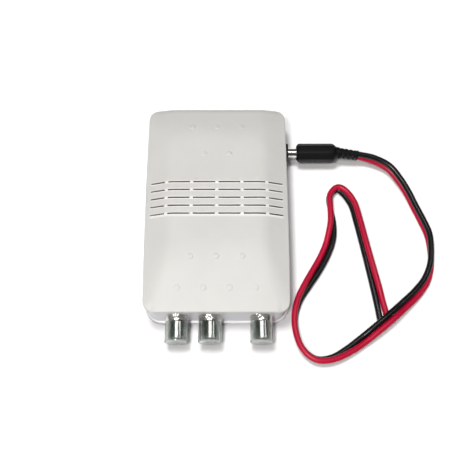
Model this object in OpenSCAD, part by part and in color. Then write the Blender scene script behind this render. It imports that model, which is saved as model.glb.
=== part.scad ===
// TV signal amplifier: a crowned plastic case with three capped coaxial sockets and a power lead.
// Millimetres. +Z is up, -Y is the socket side, the origin is the centre of the base on the floor.

/* [Case] */
// Width of the cover across its side edges
case_w = 80; // [76:1:100]
// Length of the cover from its front edge to its back edge
case_l = 122; // [116:1:150]
// Height of the cover's outer edge above the floor
eave_z = 24.5; // [22:0.5:32]
// Height of the upright band round the cover's edge
skirt_h = 2.5; // [1.5:0.1:3.5]
// Rise of the crown above the cover's edge
crown_h = 5; // [3:0.5:7]
// Width of each sloping side of the crown
crown_side = 13.5; // [11:0.5:16]
// Length of the long slope at the front of the crown
crown_front = 30; // [20:1:34]
// Length of the slope at the back of the crown
crown_back = 17.5; // [12:0.5:24]
// Height of the crown's back end above the cover's edge
back_lift = 1.5; // [0.2:0.1:2.5]
// Corner radius of the cover seen from above
cover_r = 6; // [5:0.5:9]
// Wall thickness of the cover and the tray
wall = 2; // [1.7:0.1:2.4]
// Thickness of the tray's floor
floor_t = 2; // [1.6:0.1:3]
// How far the tray's wall stands inside the cover's edge
wall_inset = 1.2; // [0.6:0.1:1.5]
// How far the bottom flange stands out from the tray's wall
flange_out = 1.6; // [1:0.1:3]
// Thickness of the bottom flange
flange_t = 2; // [1.2:0.1:3]
// Corner radius of the flange
flange_r = 10; // [6:0.5:12]
// Corner radius of the tray's wall
tray_r = 7.5; // [5:0.5:9]

/* [Vents and pips] */
// Number of vent rows
vent_rows = 5; // [3:2:7]
// Distance between vent rows
vent_pitch = 4.75; // [4:0.25:6]
// Width of a vent slot
vent_w = 1; // [0.6:0.1:1.6]
// Distance between the ribs that cross the vents
rib_pitch = 14.1; // [12:0.1:15]
// Width of a rib
rib_w = 2.5; // [1.5:0.1:4]
// Bare strip between the outer slots and the cover's side edge
vent_margin = 2.9; // [2.6:0.1:6]
// Place of the middle vent row, back from the case's centre
vent_y = 3.3; // [-8:0.1:8]
// Diameter of a pip
pip_d = 3.2; // [2:0.1:5]
// Height of a pip
pip_h = 0.5; // [0.3:0.1:1]

/* [Sockets] */
// Distance from the cover's left edge to the left socket
socket_left_in = 18.1; // [17:0.1:21]
// Place of the middle socket across the case
socket_mid_x = -3.6; // [-4.5:0.1:2]
// Distance from the cover's right edge to the right socket
socket_right_in = 15.4; // [15:0.1:20]
// Height of the socket and plug axes above the floor
axis_z = 11; // [10.6:0.1:13]
// Outside diameter of the socket thread
thread_d = 9.5; // [9:0.1:10]
// Length of the threaded barrel in front of the shoulder
thread_l = 9.2; // [8:0.1:13]
// Pitch of the socket thread
thread_p = 0.8; // [0.6:0.1:1]
// Diameter of the socket's round shoulder
shoulder_d = 13; // [12:0.1:13.6]
// Length of the socket's shoulder
shoulder_l = 3.4; // [2:0.1:6]
// Length of the socket's rear thread inside the tray
rear_l = 5.5; // [4.4:0.1:6.5]
// Width of the clamping nut across its flats
nut_af = 11; // [10.8:0.1:12]
// Thickness of the clamping nut
nut_t = 2.4; // [2:0.1:3]
// Thickness of the washer under the nut
washer_t = 0.8; // [0.5:0.1:1]
// Diameter of the white insulator
insulator_d = 6.2; // [5:0.1:6.6]
// Diameter of the centre contact
contact_d = 2; // [1.6:0.1:2.6]

/* [Dust caps] */
// Outside diameter of a dust cap
cap_d = 13; // [12.4:0.1:13.6]
// Room between the cap and the thread
cap_clear = 0.35; // [0.3:0.05:0.6]
// Thickness of the cap's closed end
cap_end = 1.4; // [1:0.1:2.5]
// Gap between the cap's rim and the shoulder
cap_gap = 0.3; // [0.3:0.1:0.9]

/* [Power socket and plug] */
// Distance from the cover's back edge to the power socket's axis
jack_back = 21.2; // [19:0.1:26]
// Width of the power socket
jack_w = 10.6; // [9.6:0.1:12]
// Height of the power socket above its axis
jack_up = 5.2; // [4.8:0.1:6]
// How far the power socket stands out past the cover's edge
jack_proud = 1.8; // [0.8:0.1:3]
// Diameter of the power socket's round collar
jack_collar_d = 9.4; // [8.6:0.1:9.6]
// Length of the power socket
jack_l = 14.3; // [13.4:0.1:18]
// Diameter of the power socket's hole
jack_bore = 6.4; // [6.2:0.1:7]
// Depth of the power socket's hole
jack_depth = 10.3; // [9.4:0.1:11]
// Diameter of the power socket's centre pin
jack_pin_d = 2; // [1.6:0.1:2.1]
// Outside diameter of the plug's barrel
barrel_d = 5.5; // [5.2:0.1:5.7]
// Length of the barrel inside the socket
barrel_in = 8.2; // [5:0.1:9]
// Length of the barrel between socket and plug body
barrel_out = 5.1; // [1:0.1:8]
// Width of the plug body across its flats
plug_d = 10.5; // [9.4:0.1:12]
// Length of the plug body
plug_l = 24.4; // [16:0.1:30]
// Length of the ribbed strain relief
relief_l = 12; // [9:0.5:20]
// Number of ribs on the strain relief
relief_ribs = 5; // [3:1:7]
// Angle at which the strain relief droops
relief_droop = 7; // [0:0.5:8]
// Angle at which the strain relief leans to the front
relief_lean = 4.5; // [0:0.5:8]

/* [Power lead] */
// Diameter of one insulated conductor
lead_d = 3.4; // [2.6:0.1:3.5]
// Gap between the two conductors' skins
lead_gap = 0.1; // [0.1:0.05:0.3]
// Diameter of the stripped strands
tip_d = 1.8; // [1:0.1:2.2]
// Length of the stripped strands
tip_l = 3; // [2:0.5:6]

/* [Circuit board] */
// Height of the tray's posts under the board
post_h = 2.2; // [2:0.1:3]
// Thickness of the board
board_t = 1.6; // [1:0.1:2]
// Height of the tin screen
screen_h = 9; // [7:0.5:10]
// Thickness of the tin
tin_t = 0.6; // [0.4:0.1:0.8]

/* [Hidden] */
$fn = 48;
hull_fn = 32;
fit = 0.1;
cut = 0.5;

tray_w = case_w - 2 * wall_inset;
tray_l = case_l - 2 * wall_inset;
inner_w = tray_w - 2 * wall;
inner_l = tray_l - 2 * wall;
inner_r = tray_r - wall / 2;
parting_z = eave_z - skirt_h;
top_z = eave_z + crown_h;
side_slope = crown_h / crown_side;
front_slope = crown_h / crown_front;
back_slope = (crown_h - back_lift) / crown_back;
inner_eave_z = eave_z - wall * (1 - side_slope);
plateau_w = case_w - 2 * crown_side;
plateau_front_y = -case_l / 2 + crown_front;
plateau_back_y = case_l / 2 - crown_back;
plate_t = 0.2;

// Rows of pips, measured in from the ends of the cover
pip_end_row = 13;
pip_front_row = 30;
pip_back_row = 31;

lip_t = 1;
lip_clear = 0.3;
lip_drop = 1.5;
lip_w = inner_w - 2 * lip_clear;
lip_l = inner_l - 2 * lip_clear;
lip_top_z = inner_eave_z + (wall_inset + lip_clear + lip_t) * side_slope + 0.3;

boss_d = 8;
cover_boss_d = 6;
boss_top_z = 12;
boss_side_in = 3.8;
boss_front_in = 10.3;
boss_back_in = 5.8;
boss_x = inner_w / 2 - boss_side_in;
boss_front_y = -inner_l / 2 + boss_front_in;
boss_back_y = inner_l / 2 - boss_back_in;
bosses = [for (x = [-boss_x, boss_x], y = [boss_front_y, boss_back_y]) [x, y]];
screw_d = 2.5;
screw_head_d = 5;
screw_head_t = 2;
screw_recess_d = 5.6;
screw_recess = 2.8;
screw_l = 13;
screw_slot_l = 2.8;
screw_slot_w = 0.6;
screw_slot_depth = 1;

post_d = 5;
post_side_in = 7.8;
post_back_in = 14;
post_end_in = 8;
post_jack_gap = 17.5;
post_x = inner_w / 2 - post_side_in;
board_screw_d = 2;
board_head_d = 4.4;
board_head_t = 1.4;
board_gap = 1;
board_front_gap = 8;
board_bottom_z = floor_t + post_h;
board_top_z = board_bottom_z + board_t;
board_x = inner_w / 2 - board_gap;
board_r = inner_r - board_gap;
board_front_y = -inner_l / 2 + board_front_gap;
board_back_y = inner_l / 2 - board_gap;

socket_left_x = socket_left_in - case_w / 2;
socket_right_x = case_w / 2 - socket_right_in;
sockets = [socket_left_x, socket_mid_x, socket_right_x];
socket_hole_d = thread_d + 0.4;
socket_bore_d = insulator_d + 2 * fit;
thread_depth = 0.5;
tail_d = 1;
tail_in = 3.2;
tail_y = board_front_y + tail_in;
insulator_set = 0.6;
insulator_nose = 1.2;
cap_nose_gap = 0.4;
cap_rim_r = 1;
cap_len = thread_l - cap_gap + cap_nose_gap + cap_end;

jack_y = case_l / 2 - jack_back;
jack_face_x = case_w / 2 + jack_proud;
jack_rear_x = jack_face_x - jack_l;
jack_hidden = 0.2;
jack_block_x = case_w / 2 - jack_hidden;
jack_window_gap = 0.2;
leaf_t = 0.4;
leaf_w = 2.6;
leaf_l = 6.5;
leaf_room = 1;
leg_w = 2.4;
leg_t = 0.8;
leg_below = 1.2;
leg_hole_gap = 0.3;
legs = [[jack_rear_x + 2, 0], [jack_rear_x + 5, -3], [jack_rear_x + 8, 0]];
pin_set = 1.8;

// Supply parts beside the power socket: how far they stand from it, and their sizes
can_gap = 8;
can_big_d = 8;
can_big_h = 12;
can_big_side = 5.5;
can_small_d = 6.3;
can_small_h = 11;
can_small_side = 7;
can_neck = 0.4;
can_neck_z = 1.4;
diode_side = 17;
diode_d = 2.7;
diode_l = 5.2;
diode_span = 10;
diode_lift = 1.9;
diode_wire_d = 0.8;
regulator_gap = 25;
regulator_w = 10;
regulator_t = 4.5;
regulator_h = 9;
regulator_stand = 2;
regulator_tab_t = 1.4;
regulator_tab_h = 5.5;
regulator_leg_w = 0.8;
regulator_leg_t = 0.6;
regulator_leg_pitch = 2.54;
choke_gap = 40;
choke_d = 13;
choke_hole = 6;
choke_h = 5;
can_x = jack_rear_x - can_gap;
regulator_x = jack_rear_x - regulator_gap;
choke_x = jack_rear_x - choke_gap;
posts = [
    [-post_x, 0], [post_x, 0], [-post_x, inner_l / 2 - post_back_in],
    [jack_rear_x - post_jack_gap, inner_l / 2 - post_end_in]
];

plug_front_x = jack_face_x + barrel_out;
plug_back_x = plug_front_x + plug_l;
barrel_tip_x = jack_face_x - barrel_in;
barrel_seat = 6;
barrel_back_x = plug_front_x + barrel_seat;
barrel_wall = 0.4;
plug_insulator_d = barrel_d - 2 * barrel_wall - 2 * fit;
plug_contact_d = jack_pin_d + 1.1;
plug_contact_bore = jack_pin_d + 0.7;
plug_tip_step = 0.4;
plug_edge = 1.4;
relief_tip_w = lead_d + 1.2;
relief_tip_h = 2 * lead_d + 1.2;
relief_flare = 1.2;
relief_rib = 0.5;
relief_rib_part = 0.65;
relief_root = 1.5;
relief_flat = cos(relief_droop);
relief_dir = [relief_flat * cos(relief_lean), -relief_flat * sin(relief_lean), -sin(relief_droop)];
relief_end = [plug_back_x, jack_y, axis_z] + relief_l * relief_dir;

screen_l = 36;
screen_side = 9.8;
screen_w = inner_w - 2 * screen_side;
screen_x = 1.5;
screen_tail_gap = 2.6;
screen_y = tail_y + screen_tail_gap + screen_l / 2;
screen_lid_skirt = 3;

// Parts of the amplifier stage
amp_w = 5;
amp_l = 4;
amp_h = 1.5;
amp_stand = 0.2;
amp_reach = 3;
amp_leg_w = 0.4;
amp_leg_l = 1.5;
amp_leg_pitch = 1.27;
amp_x = screen_w / 5;
core_w = 7;
core_l = 6;
core_h = 4;
core_hole = 1.6;
chip_w = 2;
chip_l = 1.2;
chip_h = 0.6;
chip_row_pitch = 8;
chip_row_y = screen_l * 0.3;
chip_block_x = 6;
chip_block_y = 5;

// Cord route: x, y, lift off the floor, roll from red to black in degrees, extra split of the pair
route = [
    [93, 37, 4.6, 102, 0], [102, 32.5, 3.2, 104, 0], [108, 25, 1.8, 102, 0], [112.5, 17, 0.8, 98, 0],
    [116, 8.5, 0.2, 98, 0], [119.5, 0, 0, 100, 0], [122.5, -9, 0, 98, 0], [123, -18.5, 0, 84, 0],
    [122, -28, 0, 68, 0], [118.5, -37, 0, 46, 0], [112.5, -44.5, 0.6, 28, 0], [105, -51.5, 2.2, 12, 0],
    [96.5, -59, 4.1, 4, 0], [88.5, -65.5, 3.4, -1, 0], [80.5, -71.5, 1, -14, 0], [72.5, -77, 0.2, -37, 0],
    [63.5, -81.5, 0, -58, 0], [54.5, -82, 0, -70, 0], [47.5, -76.5, 0, -77, 0], [44, -67.5, 0, -82, 0],
    [43.5, -58, 0, -80, 0], [46, -48.5, 0, -67, 0], [51, -39.5, 0, -42, 0], [57, -30, 0, -12, 0],
    [62, -21, 0, -3, 0], [65.5, -12, 0, -10, 0], [67, -2, 0, -53, 0], [66.5, 8, 0, -83, 0],
    [66.5, 15.5, 0, -90, 0], [71, 20, 0, -82, 0], [75.5, 17.5, 0, -66, 0], [80, 10, 0, -61, 0],
    [82.5, -1, 0, -58, 0], [85, -14, 0, -56, 0], [87.5, -27, 0, -49, 0], [90, -40, 0, -30, 0],
    [91.5, -48, 0, -8, 0], [92.5, -54, 0, -3, 0.4], [93.5, -60, 0, -3, 0.8]
];
lead_sides = 8;
lead_n = len(route) + 1;

// The route was laid out for this end of the strain relief and this side edge of the cover
route_start = [83.2, 38.9];
route_edge = 40;
// Number of rings over which the cord takes up a move of the plug
route_ease = 11;
case_shift = case_w / 2 - route_edge;
plug_shift = [relief_end[0] - route_start[0] - case_shift, relief_end[1] - route_start[1]];

// Height of the cover's outer surface at a place seen from above
function crown_z(x, y) = min(
    top_z,
    eave_z + (case_w / 2 - abs(x)) * side_slope,
    eave_z + (case_l / 2 + y) * front_slope,
    eave_z + back_lift + (case_l / 2 - y) * back_slope
);

// Ends of vent slot k, counted from -3 at the left to 2 at the right
function slot_left(k) = k == -3 ? vent_margin - case_w / 2 : k * rib_pitch + rib_w / 2;
function slot_right(k) = k == 2 ? case_w / 2 - vent_margin : (k + 1) * rib_pitch - rib_w / 2;
function row_y(r) = vent_y + (r - (vent_rows - 1) / 2) * vent_pitch;

// Cord frame at ring i: place, direction of travel, right-hand side, up side and pair direction
function unit(v) = v / norm(v);
function pair_gap(i) = lead_d + lead_gap + (i == 0 ? 0 : route[i - 1][4]);
function roll(i) = i == 0 ? 90 : route[i - 1][3];
function rest_z(i) = lead_d / 2 + pair_gap(i) / 2 * abs(sin(roll(i)));
function ease(i) = max(0, 1 - i / route_ease);
function place(i) = i == 0 ? relief_end : [
    route[i - 1][0] + case_shift + ease(i) * plug_shift[0],
    route[i - 1][1] + ease(i) * plug_shift[1],
    route[i - 1][2] + rest_z(i)
];
function ahead(i) = i == 0 ? relief_dir : unit(place(min(i + 1, lead_n - 1)) - place(i - 1));
function right_of(i) = unit(cross(ahead(i), [0, 0, 1]));
function up_of(i) = cross(right_of(i), ahead(i));
function pair_dir(i) = cos(roll(i)) * right_of(i) + sin(roll(i)) * up_of(i);
function core(i, side) = place(i) + side * pair_gap(i) / 2 * pair_dir(i);
function ring(i, side) = [for (k = [0:lead_sides - 1])
    let (a = 360 * (k + 0.5) / lead_sides)
    core(i, side) + lead_d / 2 * (cos(a) * right_of(i) + sin(a) * up_of(i))];

module rounded_outline(w, l, r) {
    square([w - 2 * r, l], center = true);
    square([w, l - 2 * r], center = true);
    for (x = [-1, 1], y = [-1, 1])
        translate([x * (w / 2 - r), y * (l / 2 - r)]) circle(r);
}

module rounded_slab(w, l, h, r) {
    linear_extrude(h) rounded_outline(w, l, r);
}

// Crowned block: edge band, flat plateau and the raised end of the crown at the back
module crown_block(w, l, bottom_z, edge_z, peak_z, r) {
    hull() {
        translate([0, 0, bottom_z]) rounded_slab(w, l, edge_z - bottom_z, r, $fn = hull_fn);
        translate([-plateau_w / 2, plateau_front_y, peak_z - plate_t])
            cube([plateau_w, plateau_back_y - plateau_front_y, plate_t]);
        translate([-plateau_w / 2, l / 2 - plate_t, edge_z]) cube([plateau_w, plate_t, back_lift]);
    }
}

module pip(x, y) {
    tilt = y < plateau_front_y ? atan(front_slope) : y > plateau_back_y ? -atan(back_slope) : 0;
    translate([x, y, crown_z(x, y)]) rotate([tilt, 0, 0])
        translate([0, 0, -wall / 2]) cylinder(h = wall / 2 + pip_h, d1 = pip_d, d2 = pip_d - 2 * pip_h);
}

module top_cover() {
    color("gainsboro") difference() {
        union() {
            difference() {
                crown_block(case_w, case_l, parting_z, eave_z, top_z, cover_r);
                crown_block(case_w - 2 * wall, case_l - 2 * wall, parting_z - cut, inner_eave_z,
                    top_z - wall, cover_r - wall / 2);
            }
            translate([0, 0, parting_z - lip_drop]) difference() {
                rounded_slab(lip_w, lip_l, lip_top_z - parting_z + lip_drop, inner_r);
                translate([0, 0, -cut])
                    rounded_slab(lip_w - 2 * lip_t, lip_l - 2 * lip_t, lip_top_z, inner_r);
            }
            for (b = bosses)
                translate([b[0], b[1], boss_top_z]) cylinder(h = lip_top_z - boss_top_z, d = cover_boss_d);
            for (k = [-1:1]) {
                pip(k * rib_pitch, case_l / 2 - pip_end_row);
                pip(k * rib_pitch, -case_l / 2 + pip_front_row);
            }
            for (k = [-0.5, 0.5]) pip(k * rib_pitch, case_l / 2 - pip_back_row);
            for (k = [-1.5:1.5]) pip(k * rib_pitch, -case_l / 2 + pip_end_row);
        }
        for (r = [0:vent_rows - 1], k = [-3:2])
            translate([slot_left(k), row_y(r) - vent_w / 2, parting_z + skirt_h / 2])
                cube([slot_right(k) - slot_left(k), vent_w, crown_h + skirt_h]);
        for (b = bosses) translate([b[0], b[1], boss_top_z - cut])
            cylinder(h = screw_l - boss_top_z + screw_recess + 2 * cut, d = screw_d + 2 * fit);
    }
}

module base_tray() {
    color("whitesmoke") difference() {
        union() {
            difference() {
                union() {
                    rounded_slab(tray_w, tray_l, parting_z, tray_r);
                    rounded_slab(tray_w + 2 * flange_out, tray_l + 2 * flange_out, flange_t, flange_r);
                }
                translate([0, 0, floor_t]) rounded_slab(inner_w, inner_l, parting_z, inner_r);
            }
            for (b = bosses)
                translate([b[0], b[1], floor_t / 2]) cylinder(h = boss_top_z - floor_t / 2, d = boss_d);
            for (p = posts)
                translate([p[0], p[1], floor_t / 2]) cylinder(h = post_h + floor_t / 2, d = post_d);
        }
        for (b = bosses) translate([b[0], b[1], -cut]) {
            cylinder(h = screw_recess + cut, d = screw_recess_d);
            cylinder(h = boss_top_z + 2 * cut, d = screw_d + 4 * fit);
        }
        for (p = posts) translate([p[0], p[1], floor_t / 2])
            cylinder(h = post_h + floor_t, d = board_screw_d + 2 * fit);
        for (x = sockets) on_front(x)
            translate([0, 0, -wall - cut]) cylinder(h = wall + 2 * cut, d = socket_hole_d);
        translate([inner_w / 2 - cut, jack_y - jack_w / 2 - jack_window_gap, board_top_z - jack_window_gap])
            cube([wall + 2 * cut, jack_w + 2 * jack_window_gap,
                axis_z + jack_up + 2 * jack_window_gap - board_top_z]);
    }
}

module case_screws() {
    color("silver") for (b = bosses) translate([b[0], b[1], screw_recess - screw_head_t]) {
        difference() {
            cylinder(h = screw_head_t, d = screw_head_d);
            for (a = [0, 90]) rotate(a)
                cube([screw_slot_l, screw_slot_w, 2 * screw_slot_depth], center = true);
        }
        translate([0, 0, screw_head_t / 2]) cylinder(h = screw_l + screw_head_t / 2, d = screw_d);
    }
}

// Puts a part on the front wall's outer face, with its own Z pointing out of the case
module on_front(x) {
    translate([x, -tray_l / 2, axis_z]) rotate([90, 0, 0]) children();
}

module f_body(x) {
    major = thread_d / 2;
    minor = major - thread_depth;
    start = shoulder_l + thread_p;
    turns = floor((thread_l - 2 * thread_p) / thread_p);
    tip = shoulder_l + thread_l;
    ridge = [[minor, 0], [major, 0.35], [major, 0.65]];
    color("silver") on_front(x) rotate_extrude() polygon(concat(
        [[socket_bore_d / 2, -wall - rear_l], [major, -wall - rear_l], [major, 0]],
        [[shoulder_d / 2, 0], [shoulder_d / 2, shoulder_l], [minor, shoulder_l]],
        [for (i = [0:turns - 1], s = ridge) [s[0], start + (i + s[1]) * thread_p]],
        [[minor, start + turns * thread_p], [minor, tip], [socket_bore_d / 2, tip]]
    ));
}

module f_insulator(x) {
    length = rear_l + wall + shoulder_l + thread_l - insulator_set;
    color("white") on_front(x) translate([0, 0, -wall - rear_l]) difference() {
        cylinder(h = length, d = insulator_d);
        translate([0, 0, -cut]) cylinder(h = length - insulator_nose + cut, d = contact_d + 2 * fit);
        cylinder(h = length + cut, d = contact_d / 2);
    }
}

module f_contact(x) {
    front = shoulder_l + thread_l - insulator_set - insulator_nose - fit;
    back = tray_l / 2 + tail_y;
    color("goldenrod") on_front(x) {
        difference() {
            translate([0, 0, -wall - rear_l]) cylinder(h = front + wall + rear_l, d = contact_d);
            translate([0, 0, shoulder_l]) cylinder(h = thread_l, d = contact_d / 2);
        }
        translate([0, 0, -back]) cylinder(h = back, d = tail_d);
        translate([0, 0, -back]) sphere(d = tail_d);
        translate([0, 0, -back]) rotate([90, 0, 0]) cylinder(h = axis_z - board_top_z, d = tail_d);
    }
}

module connector_washers() {
    color("lightgray") for (x = sockets) on_front(x) translate([0, 0, -wall - washer_t]) difference() {
        cylinder(h = washer_t, d = nut_af + 1);
        translate([0, 0, -cut]) cylinder(h = washer_t + 2 * cut, d = thread_d + 2 * fit);
    }
}

module connector_nuts() {
    color("silver") for (x = sockets) on_front(x) translate([0, 0, -wall - washer_t - nut_t]) difference() {
        cylinder(h = nut_t, d = nut_af / cos(30), $fn = 6);
        translate([0, 0, -cut]) cylinder(h = nut_t + 2 * cut, d = thread_d + 2 * fit);
    }
}

module dust_cap(x) {
    bore_r = thread_d / 2 + cap_clear;
    color("lightcyan", 0.5) on_front(x) translate([0, 0, shoulder_l + cap_gap]) rotate_extrude() polygon([
        [0, cap_len], [0, cap_len - cap_end], [bore_r, cap_len - cap_end], [bore_r, 0],
        [cap_d / 2, 0], [cap_d / 2, cap_len - cap_rim_r], [cap_d / 2 - cap_rim_r, cap_len]
    ]);
}

// Puts a part on the power socket's axis, with its own Z pointing out of the case along +X
module on_side(x) {
    translate([x, jack_y, axis_z]) rotate([0, 90, 0]) children();
}

module dc_jack_housing() {
    color("black") difference() {
        union() {
            translate([jack_rear_x, jack_y - jack_w / 2, board_top_z])
                cube([jack_block_x - jack_rear_x, jack_w, axis_z + jack_up - board_top_z]);
            on_side(jack_block_x - cut) cylinder(h = jack_face_x - jack_block_x + cut, d = jack_collar_d);
        }
        on_side(jack_face_x - jack_depth) cylinder(h = jack_depth + cut, d = jack_bore);
        on_side(jack_rear_x - cut) cylinder(h = jack_l, d = jack_pin_d + 2 * fit);
        translate([jack_face_x - jack_depth, jack_y - leaf_w / 2 - leaf_room / 2, axis_z])
            cube([leaf_l + leaf_room, leaf_w + leaf_room, jack_bore / 2 + leaf_room]);
    }
}

module dc_jack_pin() {
    pin_l = jack_l - pin_set;
    color("silver") on_side(jack_rear_x) {
        cylinder(h = pin_l - jack_pin_d / 2, d = jack_pin_d);
        translate([0, 0, pin_l - jack_pin_d / 2]) sphere(d = jack_pin_d);
    }
}

module dc_jack_spring() {
    leaf_z = axis_z + jack_bore / 2 + leaf_room - leaf_t;
    color("goldenrod") translate([jack_face_x - jack_depth, jack_y - leaf_w / 2, leaf_z])
        cube([leaf_l, leaf_w, leaf_t]);
}

module dc_jack_terminals() {
    color("silver") for (p = legs)
        translate([p[0] - leg_t / 2, jack_y + p[1] - leg_w / 2, board_bottom_z - leg_below])
            cube([leg_t, leg_w, board_t + leg_below]);
}

module circuit_board() {
    color("darkgreen") difference() {
        translate([0, (board_front_y + board_back_y) / 2, board_bottom_z])
            rounded_slab(2 * board_x, board_back_y - board_front_y, board_t, board_r);
        for (b = bosses)
            translate([b[0], b[1], board_bottom_z - cut]) cylinder(h = board_t + 2 * cut, d = boss_d + 1);
        for (p = posts) translate([p[0], p[1], board_bottom_z - cut])
            cylinder(h = board_t + 2 * cut, d = board_screw_d + 4 * fit);
        for (p = legs) translate([p[0], jack_y + p[1], board_bottom_z])
            cube([leg_t + 2 * leg_hole_gap, leg_w + 2 * leg_hole_gap, 4 * board_t], center = true);
    }
}

module board_screws() {
    color("silver") for (p = posts) translate([p[0], p[1], 0]) {
        translate([0, 0, board_top_z]) cylinder(h = board_head_t, d = board_head_d);
        translate([0, 0, floor_t])
            cylinder(h = board_top_z - floor_t + board_head_t / 2, d = board_screw_d);
    }
}

module tin_box(w, l, h, t) {
    difference() {
        translate([-w / 2, -l / 2, 0]) cube([w, l, h]);
        translate([-w / 2 + t, -l / 2 + t, -cut]) cube([w - 2 * t, l - 2 * t, h + 2 * cut]);
    }
}

module shield_fence() {
    color("lightgray") translate([screen_x, screen_y, board_top_z])
        tin_box(screen_w, screen_l, screen_h, tin_t);
}

module shield_lid() {
    lid_w = screen_w + 2 * fit + 2 * tin_t;
    lid_l = screen_l + 2 * fit + 2 * tin_t;
    color("lightgray") translate([screen_x, screen_y, board_top_z + screen_h]) {
        translate([-lid_w / 2, -lid_l / 2, 0]) cube([lid_w, lid_l, tin_t]);
        translate([0, 0, -screen_lid_skirt]) tin_box(lid_w, lid_l, screen_lid_skirt + tin_t / 2, tin_t);
    }
}

module can(d, h) {
    waist = d / 2 - can_neck;
    rotate_extrude() polygon([
        [0, 0], [d / 2, 0], [d / 2, can_neck_z - can_neck],
        [waist, can_neck_z], [waist, can_neck_z + can_neck], [d / 2, can_neck_z + 2 * can_neck],
        [d / 2, h - can_neck], [waist, h], [0, h]
    ]);
}

module electrolytic_capacitors() {
    color("darkslateblue") translate([can_x, jack_y + can_big_side, board_top_z]) can(can_big_d, can_big_h);
    color("darkslateblue") translate([can_x, jack_y - can_small_side, board_top_z])
        can(can_small_d, can_small_h);
}

module amplifier_chips() {
    color("dimgray") for (x = [-amp_x, amp_x]) translate([screen_x + x, screen_y, board_top_z]) {
        translate([-amp_w / 2, -amp_l / 2, amp_stand]) cube([amp_w, amp_l, amp_h]);
        for (k = [-1.5:1.5], a = [0, 180]) rotate(a)
            translate([k * amp_leg_pitch - amp_leg_w / 2, amp_reach - amp_leg_l, 0])
                cube([amp_leg_w, amp_leg_l, amp_leg_w]);
    }
}

module voltage_regulator() {
    color("dimgray") translate([regulator_x, jack_y, board_top_z]) {
        translate([-regulator_w / 2, 0, regulator_stand]) cube([regulator_w, regulator_t, regulator_h]);
        translate([-regulator_w / 2, regulator_t - regulator_tab_t, regulator_stand + regulator_h / 2])
            cube([regulator_w, regulator_tab_t, regulator_tab_h + regulator_h / 2]);
        for (k = [-1:1]) translate([k * regulator_leg_pitch - regulator_leg_w / 2, regulator_t / 3, 0])
            cube([regulator_leg_w, regulator_leg_t, regulator_stand + regulator_leg_w]);
    }
}

module power_choke() {
    color("darkorange") translate([choke_x, jack_y, board_top_z]) difference() {
        cylinder(h = choke_h, d = choke_d);
        translate([0, 0, -cut]) cylinder(h = choke_h + 2 * cut, d = choke_hole);
    }
}

module splitter_core() {
    color("dimgray") translate([screen_x, screen_y, board_top_z + core_h / 2]) difference() {
        cube([core_w, core_l, core_h], center = true);
        for (s = [-1, 1]) translate([s * core_hole, 0, 0]) rotate([90, 0, 0])
            cylinder(h = core_l + 2 * cut, d = core_hole, center = true);
    }
}

module chip_components() {
    block_y = board_back_y - 2 * jack_back;
    color("tan") for (i = [-2.5:2.5], j = [-1, 1])
        translate([screen_x + i * chip_row_pitch, screen_y + j * chip_row_y, board_top_z])
            cube([chip_w, chip_l, chip_h]);
    color("tan") for (i = [-1:2], j = [0:2])
        translate([choke_x - i * chip_block_x, block_y + j * chip_block_y, board_top_z])
            cube([chip_w, chip_l, chip_h]);
}

module protection_diode() {
    color("dimgray") translate([can_x, jack_y - diode_side, board_top_z + diode_lift]) {
        rotate([0, 90, 0]) cylinder(h = diode_l, d = diode_d, center = true);
        rotate([0, 90, 0]) cylinder(h = diode_span, d = diode_wire_d, center = true);
        for (s = [-1, 1]) translate([s * diode_span / 2, 0, 0]) {
            sphere(d = diode_wire_d);
            translate([0, 0, -diode_lift]) cylinder(h = diode_lift, d = diode_wire_d);
        }
    }
}

module tube(x, length, outer_d, bore_d) {
    on_side(x) difference() {
        cylinder(h = length, d = outer_d);
        translate([0, 0, -cut]) cylinder(h = length + 2 * cut, d = bore_d);
    }
}

module plug_sleeve() {
    color("silver") tube(barrel_tip_x, barrel_back_x - barrel_tip_x, barrel_d, barrel_d - 2 * barrel_wall);
}

module plug_insulator() {
    color("dimgray") tube(barrel_tip_x + plug_tip_step, barrel_back_x - barrel_tip_x - plug_tip_step,
        plug_insulator_d, plug_contact_d + 2 * fit);
}

module plug_inner_contact() {
    set_in = 2 * plug_tip_step;
    color("goldenrod") tube(barrel_tip_x + set_in, barrel_back_x - barrel_tip_x - set_in,
        plug_contact_d, plug_contact_bore);
}

// Upright oval section, flat sided with round ends
module oval(w, h) {
    square([h - w, w], center = true);
    for (s = [-1, 1]) translate([s * (h - w) / 2, 0]) circle(d = w);
}

module strain_relief() {
    step = relief_l / relief_ribs;
    linear_extrude(relief_l) oval(relief_tip_w - relief_rib, relief_tip_h - relief_rib);
    for (i = [0:relief_ribs - 1]) {
        flare = relief_flare * (1 - i / (relief_ribs - 1));
        translate([0, 0, (i < relief_ribs - 1 ? i : relief_ribs - relief_rib_part) * step])
            linear_extrude(step * relief_rib_part) oval(relief_tip_w + flare, relief_tip_h + flare);
    }
}

module plug_shell() {
    corner_r = plug_d / 2 / cos(22.5);
    back_edge = 1.5 * plug_edge;
    spare = 1;
    color("black") difference() {
        union() {
            on_side(plug_front_x) intersection() {
                rotate(22.5) cylinder(h = plug_l, r = corner_r, $fn = 8);
                rotate_extrude() polygon([
                    [0, 0], [corner_r - plug_edge, 0], [corner_r + spare, plug_edge + spare],
                    [corner_r + spare, plug_l - back_edge - spare],
                    [corner_r - back_edge, plug_l], [0, plug_l]
                ]);
            }
            translate([plug_back_x, jack_y, axis_z]) rotate([0, 90 + relief_droop, -relief_lean]) {
                strain_relief();
                translate([0, 0, -relief_root])
                    linear_extrude(relief_root + cut) oval(relief_tip_w, relief_tip_h);
            }
        }
        on_side(plug_front_x - cut) cylinder(h = barrel_seat + cut, d = barrel_d + 2 * fit);
    }
}

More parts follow.
